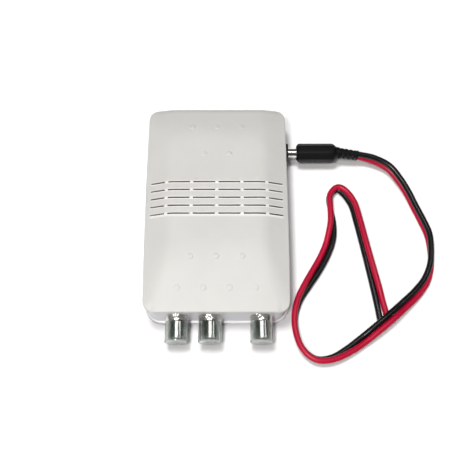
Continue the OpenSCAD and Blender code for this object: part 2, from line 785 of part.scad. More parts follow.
// One insulated conductor: rings of points along the route, joined by triangles
module lead(side) {
    points = [for (i = [0:lead_n - 1]) each ring(i, side)];
    last = (lead_n - 1) * lead_sides;
    skin = [for (i = [0:lead_n - 2], k = [0:lead_sides - 1])
        let (a = i * lead_sides + k, b = i * lead_sides + (k + 1) % lead_sides)
        each [[a, b, b + lead_sides], [a, b + lead_sides, a + lead_sides]]];
    start_cap = [for (k = [1:lead_sides - 2]) [0, k + 1, k]];
    end_cap = [for (k = [1:lead_sides - 2]) [last, last + k, last + k + 1]];
    polyhedron(points, concat(skin, start_cap, end_cap));
}

module lead_tip(side) {
    end = lead_n - 1;
    heading = ahead(end);
    translate(core(end, side)) rotate([0, 0, atan2(heading[1], heading[0])]) rotate([0, 90, 0])
        cylinder(h = tip_l, d = tip_d);
}

module lead_red() { color("crimson") lead(-1); }
module lead_black() { color("black") lead(1); }
module lead_red_tip() { color("silver") lead_tip(-1); }
module lead_black_tip() { color("silver") lead_tip(1); }

top_cover();
base_tray();
case_screws();
f_body(socket_left_x);  // f_body_left
f_body(socket_mid_x);  // f_body_middle
f_body(socket_right_x);  // f_body_right
f_insulator(socket_left_x);  // f_insulator_left
f_insulator(socket_mid_x);  // f_insulator_middle
f_insulator(socket_right_x);  // f_insulator_right
f_contact(socket_left_x);  // f_contact_left
f_contact(socket_mid_x);  // f_contact_middle
f_contact(socket_right_x);  // f_contact_right
connector_washers();
connector_nuts();
dust_cap(socket_left_x);  // dust_cap_left
dust_cap(socket_mid_x);  // dust_cap_middle
dust_cap(socket_right_x);  // dust_cap_right
dc_jack_housing();
dc_jack_pin();
dc_jack_spring();
dc_jack_terminals();
circuit_board();
board_screws();
shield_fence();
shield_lid();
electrolytic_capacitors();
amplifier_chips();
voltage_regulator();
power_choke();
splitter_core();
chip_components();
protection_diode();
plug_sleeve();
plug_insulator();
plug_inner_contact();
plug_shell();
lead_red();
lead_black();
lead_red_tip();
lead_black_tip();
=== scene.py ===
# %% [markdown]
# A TV signal amplifier: a pale plastic case, coaxial sockets under clear caps along one end,
# and a red and black power lead that is plugged into its side.
# The construction model already gives every piece its true size and place. This lesson dresses it:
# each piece that shows becomes a finer surface worked out with numpy, and each finish gets its own shader.

# %% Load the construction model
import math

import bmesh
import bpy
import numpy as np
from mathutils import Matrix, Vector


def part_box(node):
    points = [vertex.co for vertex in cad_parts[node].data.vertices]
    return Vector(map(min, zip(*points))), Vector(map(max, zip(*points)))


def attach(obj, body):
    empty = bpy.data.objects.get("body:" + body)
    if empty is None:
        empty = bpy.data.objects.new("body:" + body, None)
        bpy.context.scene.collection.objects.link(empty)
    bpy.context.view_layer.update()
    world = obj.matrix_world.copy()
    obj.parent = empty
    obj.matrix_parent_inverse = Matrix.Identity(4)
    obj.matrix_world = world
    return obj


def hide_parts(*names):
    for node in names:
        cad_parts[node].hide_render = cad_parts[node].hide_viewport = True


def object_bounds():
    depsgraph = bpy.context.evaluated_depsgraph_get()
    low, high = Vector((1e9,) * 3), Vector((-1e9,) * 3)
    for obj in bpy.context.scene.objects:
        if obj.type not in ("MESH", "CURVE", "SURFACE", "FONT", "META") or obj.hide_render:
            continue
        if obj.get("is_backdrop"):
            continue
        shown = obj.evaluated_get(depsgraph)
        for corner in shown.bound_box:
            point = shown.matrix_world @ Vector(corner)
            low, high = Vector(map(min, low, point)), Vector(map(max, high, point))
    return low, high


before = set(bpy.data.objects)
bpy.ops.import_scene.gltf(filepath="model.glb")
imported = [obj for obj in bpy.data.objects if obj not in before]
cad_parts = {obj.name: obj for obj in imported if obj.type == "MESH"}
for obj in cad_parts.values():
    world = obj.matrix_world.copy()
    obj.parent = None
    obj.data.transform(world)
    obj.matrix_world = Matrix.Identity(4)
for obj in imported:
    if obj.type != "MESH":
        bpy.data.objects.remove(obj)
cad_low, cad_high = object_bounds()
MM = 0.001


def span(node):
    """A construction node's lowest and highest corners, in millimetres to the hundredth."""
    return np.round(np.array(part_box(node)) / MM, 2)


# %% [markdown]
# The camera looks down on the case from the socket end, as the photographer did.
# A camera could be turned by hand until the picture looks right. Here its place, tilt and lens come from
# fitting the case's corners and sockets to the picture, so every piece can be compared pixel by pixel.

# %% Camera
CAMERA_AT = np.array([5.84, -169.11, 429.24]) * MM
TILT, ROLL, YAW = np.radians([21.3, -0.47, 0.45])
LENS_PX = 783.1
IMAGE_PX = 450
SENSOR = 36.0
NEAREST = 0.01

tilted = np.array([[1.0, 0, 0], [0, math.cos(TILT), math.sin(TILT)], [0, math.sin(TILT), -math.cos(TILT)]])
turn = np.array([[math.cos(YAW), -math.sin(YAW), 0], [math.sin(YAW), math.cos(YAW), 0], [0, 0, 1]])
right, up, look = tilted @ turn.T
rolled_right = math.cos(ROLL) * right + math.sin(ROLL) * up
rolled_up = math.cos(ROLL) * up - math.sin(ROLL) * right
axes = np.column_stack([rolled_right, rolled_up, -look, CAMERA_AT])

camera = bpy.data.objects.new("camera", bpy.data.cameras.new("camera"))
camera.data.sensor_width = SENSOR
camera.data.lens = LENS_PX / IMAGE_PX * SENSOR
camera.data.clip_start = NEAREST
camera.matrix_world = Matrix(np.vstack([axes, [0, 0, 0, 1]]))
bpy.context.scene.collection.objects.link(camera)
bpy.context.scene.camera = camera
bpy.context.scene.view_settings.view_transform = "Standard"
print("camera lens", round(camera.data.lens, 1), "mm at", np.round(CAMERA_AT, 3))

# %% [markdown]
# Every new piece below is a grid of points: rows of points along one parameter, columns along the other.
# A grid becomes a mesh when each cell is told which four points are its corners.
# Grids that share an edge have the same points there, so merging doubles welds them into one closed skin,
# and a closed skin can have all its faces turned outwards in one step.

# %% From grids to pieces
WELD = 0.002


def angles(count, shift=0.0):
    """Even steps round a full circle."""
    return (np.arange(count) + shift) / count * 2 * np.pi


def grid_of(x, y, z):
    """Three coordinates, each spread over the same rows and columns, as one grid of points."""
    return np.stack(np.broadcast_arrays(x, y, z), axis=-1)


def cells(rows, cols, wrap_rows=False, wrap_cols=False):
    """Corner numbers of each cell: a point, its neighbour in the row, and the same two in the next row."""
    i, j = np.meshgrid(np.arange(rows - (not wrap_rows)), np.arange(cols - (not wrap_cols)), indexing="ij")
    i_next = (i + 1) % rows
    j_next = (j + 1) % cols
    return np.stack([i * cols + j, i * cols + j_next, i_next * cols + j_next, i_next * cols + j], axis=-1)


def skin(points, wrap_rows=False, wrap_cols=False):
    """One grid of points, rows by columns, as a pair of flat points and flat cells."""
    rows, cols = points.shape[:2]
    return points.reshape(-1, 3), cells(rows, cols, wrap_rows, wrap_cols).reshape(-1, 4)


def make_piece(name, skins, body, nodes=(), sharp=38, notes=None):
    """Welds skins given in millimetres into one mesh in metres, faces outwards and sharp edges marked."""
    starts = np.cumsum([0] + [len(p) for p, _ in skins[:-1]])
    points = np.concatenate([p for p, _ in skins]) * MM
    quads = np.concatenate([q + s for (_, q), s in zip(skins, starts)])
    mesh = bpy.data.meshes.new(name)
    mesh.from_pydata(points.tolist(), [], quads.tolist())
    for note, values in (notes or {}).items():
        layer = mesh.attributes.new(note, "FLOAT_VECTOR", "POINT")
        layer.data.foreach_set("vector", values.astype(np.float32).ravel())
    shape = bmesh.new()
    shape.from_mesh(mesh)
    bmesh.ops.remove_doubles(shape, verts=shape.verts, dist=WELD * MM)
    bmesh.ops.recalc_face_normals(shape, faces=shape.faces)
    shape.to_mesh(mesh)
    shape.free()
    mesh.shade_smooth()
    mesh.set_sharp_from_angle(angle=math.radians(sharp))
    piece = bpy.data.objects.new(name, mesh)
    bpy.context.scene.collection.objects.link(piece)
    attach(piece, body)
    if nodes:
        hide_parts(*nodes)
    print(name, "has", len(mesh.polygons), "faces")
    return piece


print("grids are welded within", WELD, "mm")

# %% [markdown]
# The power lead is a limp figure-of-eight flex: a red and a black conductor side by side.
# It leaves the plug with black above red, runs round in one loose loop, turns over on the way, crosses
# over its own end and stops there with two short bare ends.
# A curve object could carry it, but the pair also rolls about its own middle. So its middle line is
# a smooth curve through listed points, and each point also says how far the pair has rolled.

# %% Route of the lead
LEAD_D = 0.0034
LEAD_GAP = 0.0001
RELIEF_END = np.array([0.08317, 0.03887, 0.00954])
RELIEF_DIR = np.array([0.98949, -0.07787, -0.12187])
BACK_STEP = 0.0098
RINGS_PER_SPAN = 8
# Each point has x, y and the height of the lead's underside in metres, its roll in degrees, and extra gap.
ROUTE = np.array([
    [0.093, 0.037, 0.0046, 102, 0], [0.102, 0.0325, 0.0032, 104, 0], [0.108, 0.025, 0.0018, 102, 0],
    [0.1125, 0.017, 0.0008, 98, 0], [0.116, 0.0085, 0.0002, 98, 0], [0.1195, 0, 0, 100, 0],
    [0.1225, -0.009, 0, 98, 0], [0.123, -0.0185, 0, 84, 0], [0.122, -0.028, 0, 68, 0],
    [0.1185, -0.037, 0, 46, 0], [0.1125, -0.0445, 0.0006, 28, 0], [0.105, -0.0515, 0.0022, 12, 0],
    [0.0965, -0.059, 0.0041, 4, 0], [0.0885, -0.0655, 0.0034, -1, 0], [0.0805, -0.0715, 0.001, -14, 0],
    [0.0725, -0.077, 0.0002, -37, 0], [0.0635, -0.0815, 0, -58, 0], [0.0545, -0.082, 0, -70, 0],
    [0.0475, -0.0765, 0, -77, 0], [0.044, -0.0675, 0, -82, 0], [0.0435, -0.058, 0, -80, 0],
    [0.046, -0.0485, 0, -67, 0], [0.051, -0.0395, 0, -42, 0], [0.057, -0.03, 0, -12, 0],
    [0.062, -0.021, 0, -3, 0], [0.0655, -0.012, 0, -10, 0], [0.067, -0.002, 0, -53, 0],
    [0.0665, 0.008, 0, -83, 0], [0.0665, 0.0155, 0, -90, 0], [0.071, 0.02, 0, -82, 0],
    [0.0755, 0.0175, 0, -66, 0], [0.08, 0.01, 0, -61, 0], [0.0825, -0.001, 0, -58, 0],
    [0.085, -0.014, 0, -56, 0], [0.0875, -0.027, 0, -49, 0], [0.09, -0.04, 0, -30, 0],
    [0.0915, -0.048, 0, -8, 0], [0.0925, -0.054, 0, -3, 0.0004], [0.0935, -0.06, 0, -3, 0.0008],
])


def flowing(knots, per_span):
    """Catmull-Rom curve: between knots 1 and 2 it leaves and arrives along the lines 0-2 and 1-3."""
    a, b, c, d = (knots[i:len(knots) - 3 + i, None, :] for i in range(4))
    t = (np.arange(per_span) / per_span)[None, :, None]
    bent = (2 * a - 5 * b + 4 * c - d) * t**2 + (3 * b - a - 3 * c + d) * t**3
    curve = 0.5 * (2 * b + (c - a) * t + bent)
    return np.concatenate([curve.reshape(-1, knots.shape[1]), knots[-2:-1]])


def unit(v):
    """Each row made one long."""
    return v / np.linalg.norm(v, axis=-1, keepdims=True)


stack_z = LEAD_D / 2 + (LEAD_D + LEAD_GAP) / 2
start = np.array([*RELIEF_END[:2], RELIEF_END[2] - stack_z, 90, 0])
before = start - np.array([*RELIEF_DIR * BACK_STEP, 0, 0])
knots = np.vstack([before, start, ROUTE, 2 * ROUTE[-1] - ROUTE[-2]])
line = flowing(knots, RINGS_PER_SPAN)
roll = np.radians(line[:, 3])
spread = LEAD_D + LEAD_GAP + line[:, 4]
middle = line[:, :3].copy()
middle[:, 2] += LEAD_D / 2 + spread / 2 * np.abs(np.sin(roll))
heading = unit(np.gradient(middle, axis=0))
heading[0] = RELIEF_DIR
beside = unit(np.cross(heading, [0, 0, 1.0]))
over = np.cross(beside, heading)
pair = np.cos(roll)[:, None] * beside + np.sin(roll)[:, None] * over
across = np.cross(heading, pair)
lead_length = float(np.linalg.norm(np.diff(middle, axis=0), axis=1).sum())
print("lead", round(lead_length, 3), "m long in", len(middle), "rings")

# %% [markdown]
# Each conductor is a wire in soft vinyl, and the two are moulded together along a thin seam.
# A curve with a round bevel would cut into its partner. Here each conductor is a circle carried along
# the lead, moved sideways by half the pair's width and pressed flat at the seam. Every ring also stores
# its angle and its distance along the wire, so that the finish can follow the wire later.

# %% The two conductors
WIRE_SIDES = 24
FULLNESS = 1.015
SEAM = 0.00001
TUCK = 0.0006


def conductor(name, side, node):
    """A round section carried along the lead, pressed flat where it is moulded to its partner.

    Ring point: middle + side * spread/2 * pair + r * (cos t * pair + sin t * across).
    """
    centre = middle + side * spread[:, None] / 2 * pair
    t = angles(WIRE_SIDES)
    radius = LEAD_D / 2 * FULLNESS
    along_pair = radius * np.cos(t)[None, :] * np.ones((len(middle), 1))
    along_pair = -side * np.minimum(-side * along_pair, (spread / 2 - SEAM)[:, None])
    along_across = radius * np.sin(t)[None, :, None]
    rings = centre[:, None] + along_pair[..., None] * pair[:, None] + along_across * across[:, None]
    rings[0] -= TUCK * RELIEF_DIR
    ends = np.stack([centre[0] - TUCK * RELIEF_DIR, centre[-1]])
    closed = np.repeat(ends[:, None], WIRE_SIDES, 1)
    rings = np.concatenate([closed[:1], rings, closed[1:]])
    steps = np.linalg.norm(np.diff(rings, axis=0), axis=2).mean(1)
    run = np.concatenate([[0], np.cumsum(steps)])[:, None] / MM
    note = grid_of(np.cos(t), np.sin(t), run)
    grid = skin(rings / MM, wrap_cols=True)
    return make_piece(name, [grid], "power_plug", [node], notes={"along": note}), centre


red_flex, red_line = conductor("red_conductor", -1, "lead_red")
black_flex, black_line = conductor("black_conductor", 1, "lead_black")

# %% [markdown]
# At the free end each conductor is stripped for a few millimetres, and its tinned strands are twisted.
# Seven tiny tubes could be wound round each other. One rope whose radius swells once for each strand,
# with the pattern turning along its length, looks the same and stays one closed skin.

# %% Bare ends of the lead
STRANDS = 7
TWIST = 0.5
ROPE_R, ROPE_SWELL = 0.74, 0.12
BARE_L, BARE_TUCK = 3.0, 0.8


def bare_end(name, centre, node):
    """A short rope gathered to a point: radius = mean + swell * cos(strands * angle - twist * length)."""
    t = angles(6 * STRANDS)
    s = np.concatenate([[-BARE_TUCK], np.linspace(0, BARE_L - 0.2, 8), [BARE_L - 0.05, BARE_L]])[:, None]
    gather = np.append(np.ones(8), [0.96, 0.7, 0])[:, None]
    r = gather * (ROPE_R + ROPE_SWELL * np.cos(STRANDS * t - TWIST * 2 * np.pi * s))
    outward = np.cos(t)[:, None] * beside[-1] + np.sin(t)[:, None] * over[-1]
    rings = centre[-1] / MM + s[..., None] * heading[-1] + r[..., None] * outward
    return make_piece(name, [skin(rings, wrap_cols=True)], "power_plug", [node], sharp=60)


red_end = bare_end("red_strands", red_line, "lead_red_tip")
black_end = bare_end("black_strands", black_line, "lead_black_tip")

# %% [markdown]
# The power plug is a black moulded grip: an eight-sided bar with its ends turned down.
# A cylinder with a bevel would look round. Here the distance from the axis is a formula of the angle,
# so the flats and their slightly rounded corners are exact, and a cone at each end turns the bar down.

# %% Plug grip
shell_low, shell_high = span("plug_shell")
GRIP_FLATS = 10.5
AXIS_Y = (shell_low[1] + shell_high[1]) / 2
AXIS_Z = shell_high[2] - GRIP_FLATS / 2
GRIP_FROM, GRIP_TO = shell_low[0], 71.3
GRIP_EDGE = 0.12
CORNER_SHARE, CORNER_SOFT = 1.075, 0.35
FRONT_R, FRONT_CONE = 4.3, 1.15
BACK_R, BACK_CONE = 2.9, 0.95
CONE_SOFT = 0.5


def soft_min(a, b, reach):
    """The smaller of two values, with a round change-over where they differ by less than reach."""
    near = np.clip(reach - np.abs(a - b), 0, None) / reach
    return np.minimum(a, b) - near**2 * reach / 4


def grip_radius(t, x):
    """Half the width over the cosine of the angle from the nearest flat, cut by a cone at each end."""
    flat = GRIP_FLATS / 2 / np.cos(np.mod(t + np.pi / 8, np.pi / 4) - np.pi / 8)
    bar = soft_min(flat, GRIP_FLATS / 2 * CORNER_SHARE, CORNER_SOFT)
    front = FRONT_R + FRONT_CONE * (x - GRIP_FROM)
    back = BACK_R + BACK_CONE * (GRIP_TO - x)
    return np.maximum(soft_min(soft_min(bar, front, CONE_SOFT), back, CONE_SOFT), 0)


def grip_skin():
    """The radius turned about the plug's axis at each place along it, with a fine bevel and closed ends."""
    t = angles(96)
    x = np.concatenate([[GRIP_FROM, GRIP_FROM, GRIP_FROM + GRIP_EDGE],
                        np.linspace(GRIP_FROM + 0.3, GRIP_FROM + 2, 7),
                        np.linspace(GRIP_FROM + 4, GRIP_TO - 4, 8),
                        np.linspace(GRIP_TO - 2.6, GRIP_TO - 0.3, 8),
                        [GRIP_TO - GRIP_EDGE, GRIP_TO, GRIP_TO]])[:, None]
    r = grip_radius(t, x)
    r[[1, -2]] -= GRIP_EDGE
    r[[0, -1]] = 0
    return skin(grid_of(x, AXIS_Y + r * np.cos(t), AXIS_Z + r * np.sin(t)), wrap_cols=True)


print("grip from", GRIP_FROM, "to", GRIP_TO, "mm, on the axis", AXIS_Y, AXIS_Z)

# %% [markdown]
# A strain relief takes the lead's bend: a soft oval sleeve with grooves, so that it gives way evenly.
# On the real plug the grooves are open slots, staggered between top and sides.
# Here the oval's two half widths dip at each groove, and the dips of the two are set half a step apart.

# %% Strain relief
RELIEF_L, RELIEF_PITCH = 12.0, 2.75
RELIEF_TUCK = 1.5
GROOVE_HALF = 0.65
HALF_W, HALF_H = 2.4, 3.85
WIDER, HIGHER = 0.35, 0.55
SIDE_GROOVE, SIDE_FIRST = 1.0, 3.4
TOP_GROOVE, TOP_FIRST = 0.5, 2.0


def grooves(s, first):
    """Narrow grooves one pitch apart: 1 inside a groove, 0 between them and at both ends."""
    gap = np.mod(s - first + RELIEF_PITCH / 2, RELIEF_PITCH) - RELIEF_PITCH / 2
    return np.exp(-(gap / GROOVE_HALF) ** 4) * (s > 0.5) * (s < RELIEF_L - 0.3)


def relief_skin():
    """An oval carried along the relief: a circle as wide as it, its two halves moved apart to the height."""
    t = angles(96)
    s = np.concatenate([[-RELIEF_TUCK], np.linspace(-RELIEF_TUCK, RELIEF_L, 136), [RELIEF_L]])
    taper = np.clip(1 - s / RELIEF_L, 0, 1)
    half_w = HALF_W + WIDER * taper - SIDE_GROOVE * grooves(s, SIDE_FIRST)
    half_h = HALF_H + HIGHER * taper - TOP_GROOVE * grooves(s, TOP_FIRST)
    half_w[[0, -1]] = 0
    half_h[[0, -1]] = 0
    wide = np.cos(t) * half_w[:, None]
    apart = np.sign(np.round(np.sin(t), 6)) * (half_h - half_w)[:, None]
    high = np.sin(t) * half_w[:, None] + apart
    side = unit(np.cross(RELIEF_DIR, [0, 0, 1.0]))
    at = RELIEF_END / MM + (s - RELIEF_L)[:, None] * RELIEF_DIR
    rings = at[:, None] + wide[..., None] * side + high[..., None] * np.cross(side, RELIEF_DIR)
    return skin(rings, wrap_cols=True)


plug_grip = make_piece("plug_grip", [grip_skin(), relief_skin()], "power_plug", ["plug_shell"],
                       sharp=50)

# %% [markdown]
# A lead isn't rigid, and whoever uses the model may want to lay it again.
# Here the script prints where the two conductors end.

print("two conductors declared, free ends at", np.round(red_line[-1], 4), np.round(black_line[-1], 4))

# %% [markdown]
# The case is two mouldings, a crowned cover over a plain tray, and both have a rounded rectangle as outline.
# Seen from above such a shape is a square grid whose corner cells are bent into a quarter circle.
# One formula does that for any corner radius, so the same grid lines give the cover's top, its inner face
# and each ring of its edge, and the lines can be placed exactly where the vents start and stop.

# %% A square grid with round corners
cover_low, cover_high = span("top_cover")
CASE_W, CASE_L = (cover_high - cover_low)[:2]
HALF = np.array([CASE_W, CASE_L]) / 2
CORNER_R = 6.0
CORE = HALF - CORNER_R


def grid_lines(marks, step):
    """The given places in order, with even lines added wherever two of them stand more than a step apart."""
    marks = np.unique(np.round(np.concatenate([np.ravel(m) for m in marks]), 4))
    counts = np.maximum(np.ceil(np.diff(marks) / step - 1e-6), 1).astype(int)
    inside = np.concatenate([np.arange(n) / n for n in counts])
    return np.append(np.repeat(marks[:-1], counts) + inside * np.repeat(np.diff(marks), counts), marks[-1])


def middles(gx, gy):
    """The middle of each cell of a straight grid."""
    return (gx[1:, 1:] + gx[1:, :-1]) / 2, (gy[1:, 1:] + gy[:-1, 1:]) / 2


def round_plan(gx, gy, edge, radius, core=CORE, base=CORE):
    """A point's share of the way from the base to the edge becomes a share of the radius round the core.

    Where both shares are above zero, the larger is the distance and their ratio gives the angle.
    """
    a = np.clip((np.abs(gx) - base[0]) / (edge[0] - base[0]), 0, 1)
    b = np.clip((np.abs(gy) - base[1]) / (edge[1] - base[1]), 0, 1)
    far = np.maximum(a, b)
    angle = np.pi / 4 * np.minimum(a, b) / np.maximum(far, 1e-9)
    angle = np.where(a >= b, angle, np.pi / 2 - angle)
    x = np.minimum(np.abs(gx), base[0]) / base[0] * core[0] + radius * far * np.cos(angle)
    y = np.minimum(np.abs(gy), base[1]) / base[1] * core[1] + radius * far * np.sin(angle)
    return np.sign(gx) * x, np.sign(gy) * y


def outline(grid):
    """The grid's outer points in order: front row, right side, back row, left side."""
    return np.concatenate([grid[0], grid[1:, -1], grid[-1, -2::-1], grid[-2:0:-1, 0]])


def edge_rings(gx, gy, edge, stations, base=CORE):
    """The grid's outline at each station of (radius, height), or (radius, height, core)."""
    rings = []
    for radius, height, *core in stations:
        x, y = round_plan(outline(gx), outline(gy), edge, radius, core[0] if core else base, base)
        rings.append(grid_of(x, y, height))
    return np.stack(rings)


print("case of", CASE_W, "by", CASE_L, "mm")

# %% [markdown]
# The cover has a crown: a flat middle that falls away to all four edges in soft creases,
# with a long slope to the front and an edge that rolls over at the back.
# Such a lid could be pushed up by hand. Here its height is the lowest of a few planes, blended softly,
# so each crease lies where two planes meet and its softness is one number.

# %% Crown of the cover
EAVE_Z, CROWN_Z = 24.5, 29.5
SIDE_SLOPE, SIDE_SOFT = 0.3704, 1.2
FRONT_RUN, FRONT_SOFT = 6.0, 2.0
BACK_RISE, BACK_SLOPE, BACK_SOFT = 1.5, 0.2, 1.0
HIP_FROM = 26.5
ROLL_FROM, ROLL_RADIUS = 58.6, 2.2


def crown(x, y):
    """The lowest of the flat top, the two sides, the long front slope, the back slope and its corners."""
    ax = np.abs(x)
    ay = np.abs(y)
    corner = np.hypot(np.clip(ax - CORE[0], 0, None), np.clip(ay - CORE[1], 0, None))
    in_corner = (ax > CORE[0]) & (ay > CORE[1])
    side = EAVE_Z + SIDE_SLOPE * np.where(in_corner, CORNER_R - corner, HALF[0] - ax)
    front = EAVE_Z + (HALF[1] + y) / FRONT_RUN
    rolled = np.clip(y - ROLL_FROM, 0, None) ** 2 / (2 * ROLL_RADIUS)
    back = EAVE_Z + BACK_RISE + BACK_SLOPE * (HALF[1] - y) - rolled
    hip = back - BACK_SLOPE * np.clip(ax - HIP_FROM, 0, None)
    top = soft_min(np.full_like(x, CROWN_Z), side, SIDE_SOFT)
    return soft_min(soft_min(top, front, FRONT_SOFT), hip, BACK_SOFT)


print("crown", CROWN_Z - EAVE_Z, "mm above the eaves")

# %% [markdown]
# Five rows of vent slots cross the cover, bridged by ribs. Slots could be cut with a Boolean,
# which leaves long thin triangles. Here the grid has lines along every slot's edge,
# so a slot is simply the cells that are left out, and the shading stays clean.

# %% Vent slots
COVER_WALL, COVER_RIM = 2.0, 0.8
RIB, RIB_HALF, SLOT_END = 14.1, 1.0, 37.1
VENT_MIDDLE, VENT_PITCH, VENT_HALF = 3.3, 4.75, 0.38
LIP, LIP_DROP = 0.6, 0.22
COVER_STEP = 1.2

ribs = RIB * np.arange(-2, 3)
slot_from = np.append(-SLOT_END, ribs + RIB_HALF)
slot_to = np.append(ribs - RIB_HALF, SLOT_END)
SLOTS = np.column_stack([slot_from, slot_to]).round(4)
VENT_ROWS = VENT_MIDDLE + VENT_PITCH * np.arange(-2, 3)
COVER_EDGE = HALF - COVER_RIM
arc = np.linspace(0, 1, 6)
side_arc, end_arc = CORE[:, None] + arc * (COVER_EDGE - CORE)[:, None]
lip_steps = np.array([0, 0.2, 0.4, LIP])
lip_x = np.concatenate([SLOTS[:, :1] - lip_steps, SLOTS[:, 1:] + lip_steps])
lip_y = VENT_ROWS[:, None] + np.concatenate([-VENT_HALF - lip_steps, VENT_HALF + lip_steps])
cover_x, cover_y = np.meshgrid(grid_lines([lip_x, side_arc, -side_arc], COVER_STEP),
                               grid_lines([lip_y, end_arc, -end_arc], COVER_STEP))
mid_x, mid_y = middles(cover_x, cover_y)
in_slot = ((mid_x[..., None] > SLOTS[:, 0]) & (mid_x[..., None] < SLOTS[:, 1])).any(-1)
in_row = (np.abs(mid_y[..., None] - VENT_ROWS) < VENT_HALF).any(-1)
vent = in_slot & in_row
print("cover grid", cover_x.shape, "with", int(vent.sum()), "cells left out for the vents")

# %% [markdown]
# The cover is a thin shell, so it has an upper and a lower face, with walls between them in every slot.
# A Solidify modifier could thicken one face, but here the rim has to meet both of them point by point.
# The back lip of each slot is turned down to catch the light, and the sides bow out by half a millimetre.
# Two more values are kept for each point: painted shade, dark brown, that darkens the slots and their back
# lips, and a painted highlight, pale, along the front edges of the slots and on the ribs.

# %% Cover shell
BOW = 0.5
# Painted shade on the slots' back lips, as a share of the full slot shade.
SHADE_ON_LIP = 0.75
# Painted highlight along each slot row's front edge and ribs: how far behind the slot it reaches, and how far
# out along the row.
HIGHLIGHT_BEHIND, HIGHLIGHT_END = 0.3, 37.3


def bowed(points):
    """Sides bow out: full width in the middle, and less by the bow at each end."""
    points[..., 0] *= 1 - BOW / HALF[0] * (points[..., 1] / HALF[1]) ** 2
    return points


top_x, top_y = round_plan(cover_x, cover_y, COVER_EDGE, CORNER_R - COVER_RIM)
under_x, under_y = round_plan(cover_x, cover_y, COVER_EDGE, CORNER_R - COVER_WALL)
top = grid_of(top_x, top_y, crown(top_x, top_y))
under = grid_of(under_x, under_y, crown(under_x, under_y) - COVER_WALL)
from_slot = np.maximum(SLOTS[:, 0] - cover_x[..., None], cover_x[..., None] - SLOTS[:, 1]).min(-1).clip(0)
row_gaps = cover_y[..., None] - VENT_ROWS
row_gap = np.take_along_axis(row_gaps, np.abs(row_gaps).argmin(-1)[..., None], -1)[..., 0]
from_row = (np.abs(row_gap) - VENT_HALF).clip(0)
behind = row_gap > 0
lip_near = np.clip(1 - np.hypot(from_slot, from_row) / LIP, 0, 1)
top[..., 2] -= LIP_DROP * lip_near**2 * behind
# Painted shade, dark brown, on each slot's back lip; the lower face gets full shade so the slot walls darken
# inwards.
slot_shade = SHADE_ON_LIP * (behind & (lip_near > 0.99))
# Painted highlight, pale, on each slot's front edge and on the ribs between the slots.
lip_highlight = (row_gap < VENT_HALF + HIGHLIGHT_BEHIND) & (row_gap > -VENT_HALF - LIP) & (np.abs(cover_x) < HIGHLIGHT_END)
lip_highlight &= ~behind | (from_slot > HIGHLIGHT_BEHIND)

count = cover_x.size
rows, cols = cover_x.shape
faces = cells(rows, cols)[~vent]
bordered = np.pad(vent, 1)
long_i, long_j = np.nonzero(bordered[:-1, 1:-1] != bordered[1:, 1:-1])
short_i, short_j = np.nonzero(bordered[1:-1, :-1] != bordered[1:-1, 1:])
long_start = long_i * cols + long_j
short_start = short_i * cols + short_j
edges = np.concatenate([np.stack([long_start, long_start + 1], 1),
                        np.stack([short_start, short_start + cols], 1)])
walls = np.concatenate([edges, edges[:, ::-1] + count], axis=1)
shell = (bowed(np.concatenate([top.reshape(-1, 3), under.reshape(-1, 3)])),
         np.concatenate([faces, faces[:, ::-1] + count, walls]))
print("shell of", len(shell[1]), "faces,", len(walls), "of them in the slots")

# %% [markdown]
# Round its edge the cover turns down to the parting line. Inside it has a tongue that drops into the tray,
# and four posts that take the screws from below.
# Each of these is a profile carried round an outline, so its rings follow the same grid as the shell.

# %% Cover rim, tongue and posts
PART_Z = span("base_tray")[1][2]
SCREWS = np.array([[-33, -47.5], [33, -47.5], [-33, 52], [33, 52]])
TONGUE_R, TONGUE_TOP, TONGUE_FOOT = 6.5, 24.2, 20.5
TONGUE_SET, TONGUE_WALL = 4.0, 1.0
TONGUE_OUT = CORE - TONGUE_SET
TONGUE_IN = TONGUE_OUT - TONGUE_WALL
BOSS_R, BOSS_FOOT, BOSS_TOP = 3.0, 12.0, 24.4
POST_BEVEL = 0.3


def post(x, y, radius, low, high):
    """A plain post: a circle carried up, with a small bevel at its top and both ends closed."""
    t = angles(24)
    r = np.array([0, radius, radius, radius - POST_BEVEL, 0])[:, None]
    z = np.array([low, low, high - POST_BEVEL, high, high])[:, None]
    return skin(grid_of(x + r * np.cos(t), y + r * np.sin(t), z), wrap_cols=True)


edge_z = outline(top[..., 2])
bend = np.radians([0, 25, 50, 70, 90])
rim_r = CORNER_R - COVER_RIM + COVER_RIM * np.sin(bend)
rim_z = [edge_z - COVER_RIM * (1 - math.cos(a)) for a in bend]
inner_r = CORNER_R - COVER_WALL
stations = [*zip(rim_r, rim_z), (CORNER_R, PART_Z + 0.3), (CORNER_R - 0.25, PART_Z), (inner_r, PART_Z),
            (inner_r, outline(under[..., 2]))]
rim = edge_rings(cover_x, cover_y, COVER_EDGE, stations)
stations = [(TONGUE_R, TONGUE_TOP, TONGUE_OUT), (TONGUE_R, TONGUE_FOOT + 0.3, TONGUE_OUT),
            (TONGUE_R - 0.2, TONGUE_FOOT, TONGUE_OUT), (TONGUE_R, TONGUE_FOOT, TONGUE_IN),
            (TONGUE_R, TONGUE_TOP, TONGUE_IN)]
tongue = edge_rings(cover_x, cover_y, COVER_EDGE, stations)
bosses = [post(*at, BOSS_R, BOSS_FOOT, BOSS_TOP) for at in SCREWS]
cover_skins = [shell, skin(bowed(rim), wrap_cols=True), skin(tongue, True, True), *bosses]
marks = np.zeros((sum(len(p) for p, _ in cover_skins), 3))
# Channel 0 is painted shade in the slots, full on the lower face; channel 1 is the painted highlight.
marks[:count, 0] = slot_shade.ravel()
marks[count:2 * count, 0] = 1
marks[:count, 1] = lip_highlight.ravel()
cover = make_piece("cover", cover_skins, "case", ["top_cover"], sharp=32,
                   notes={"vent": marks})

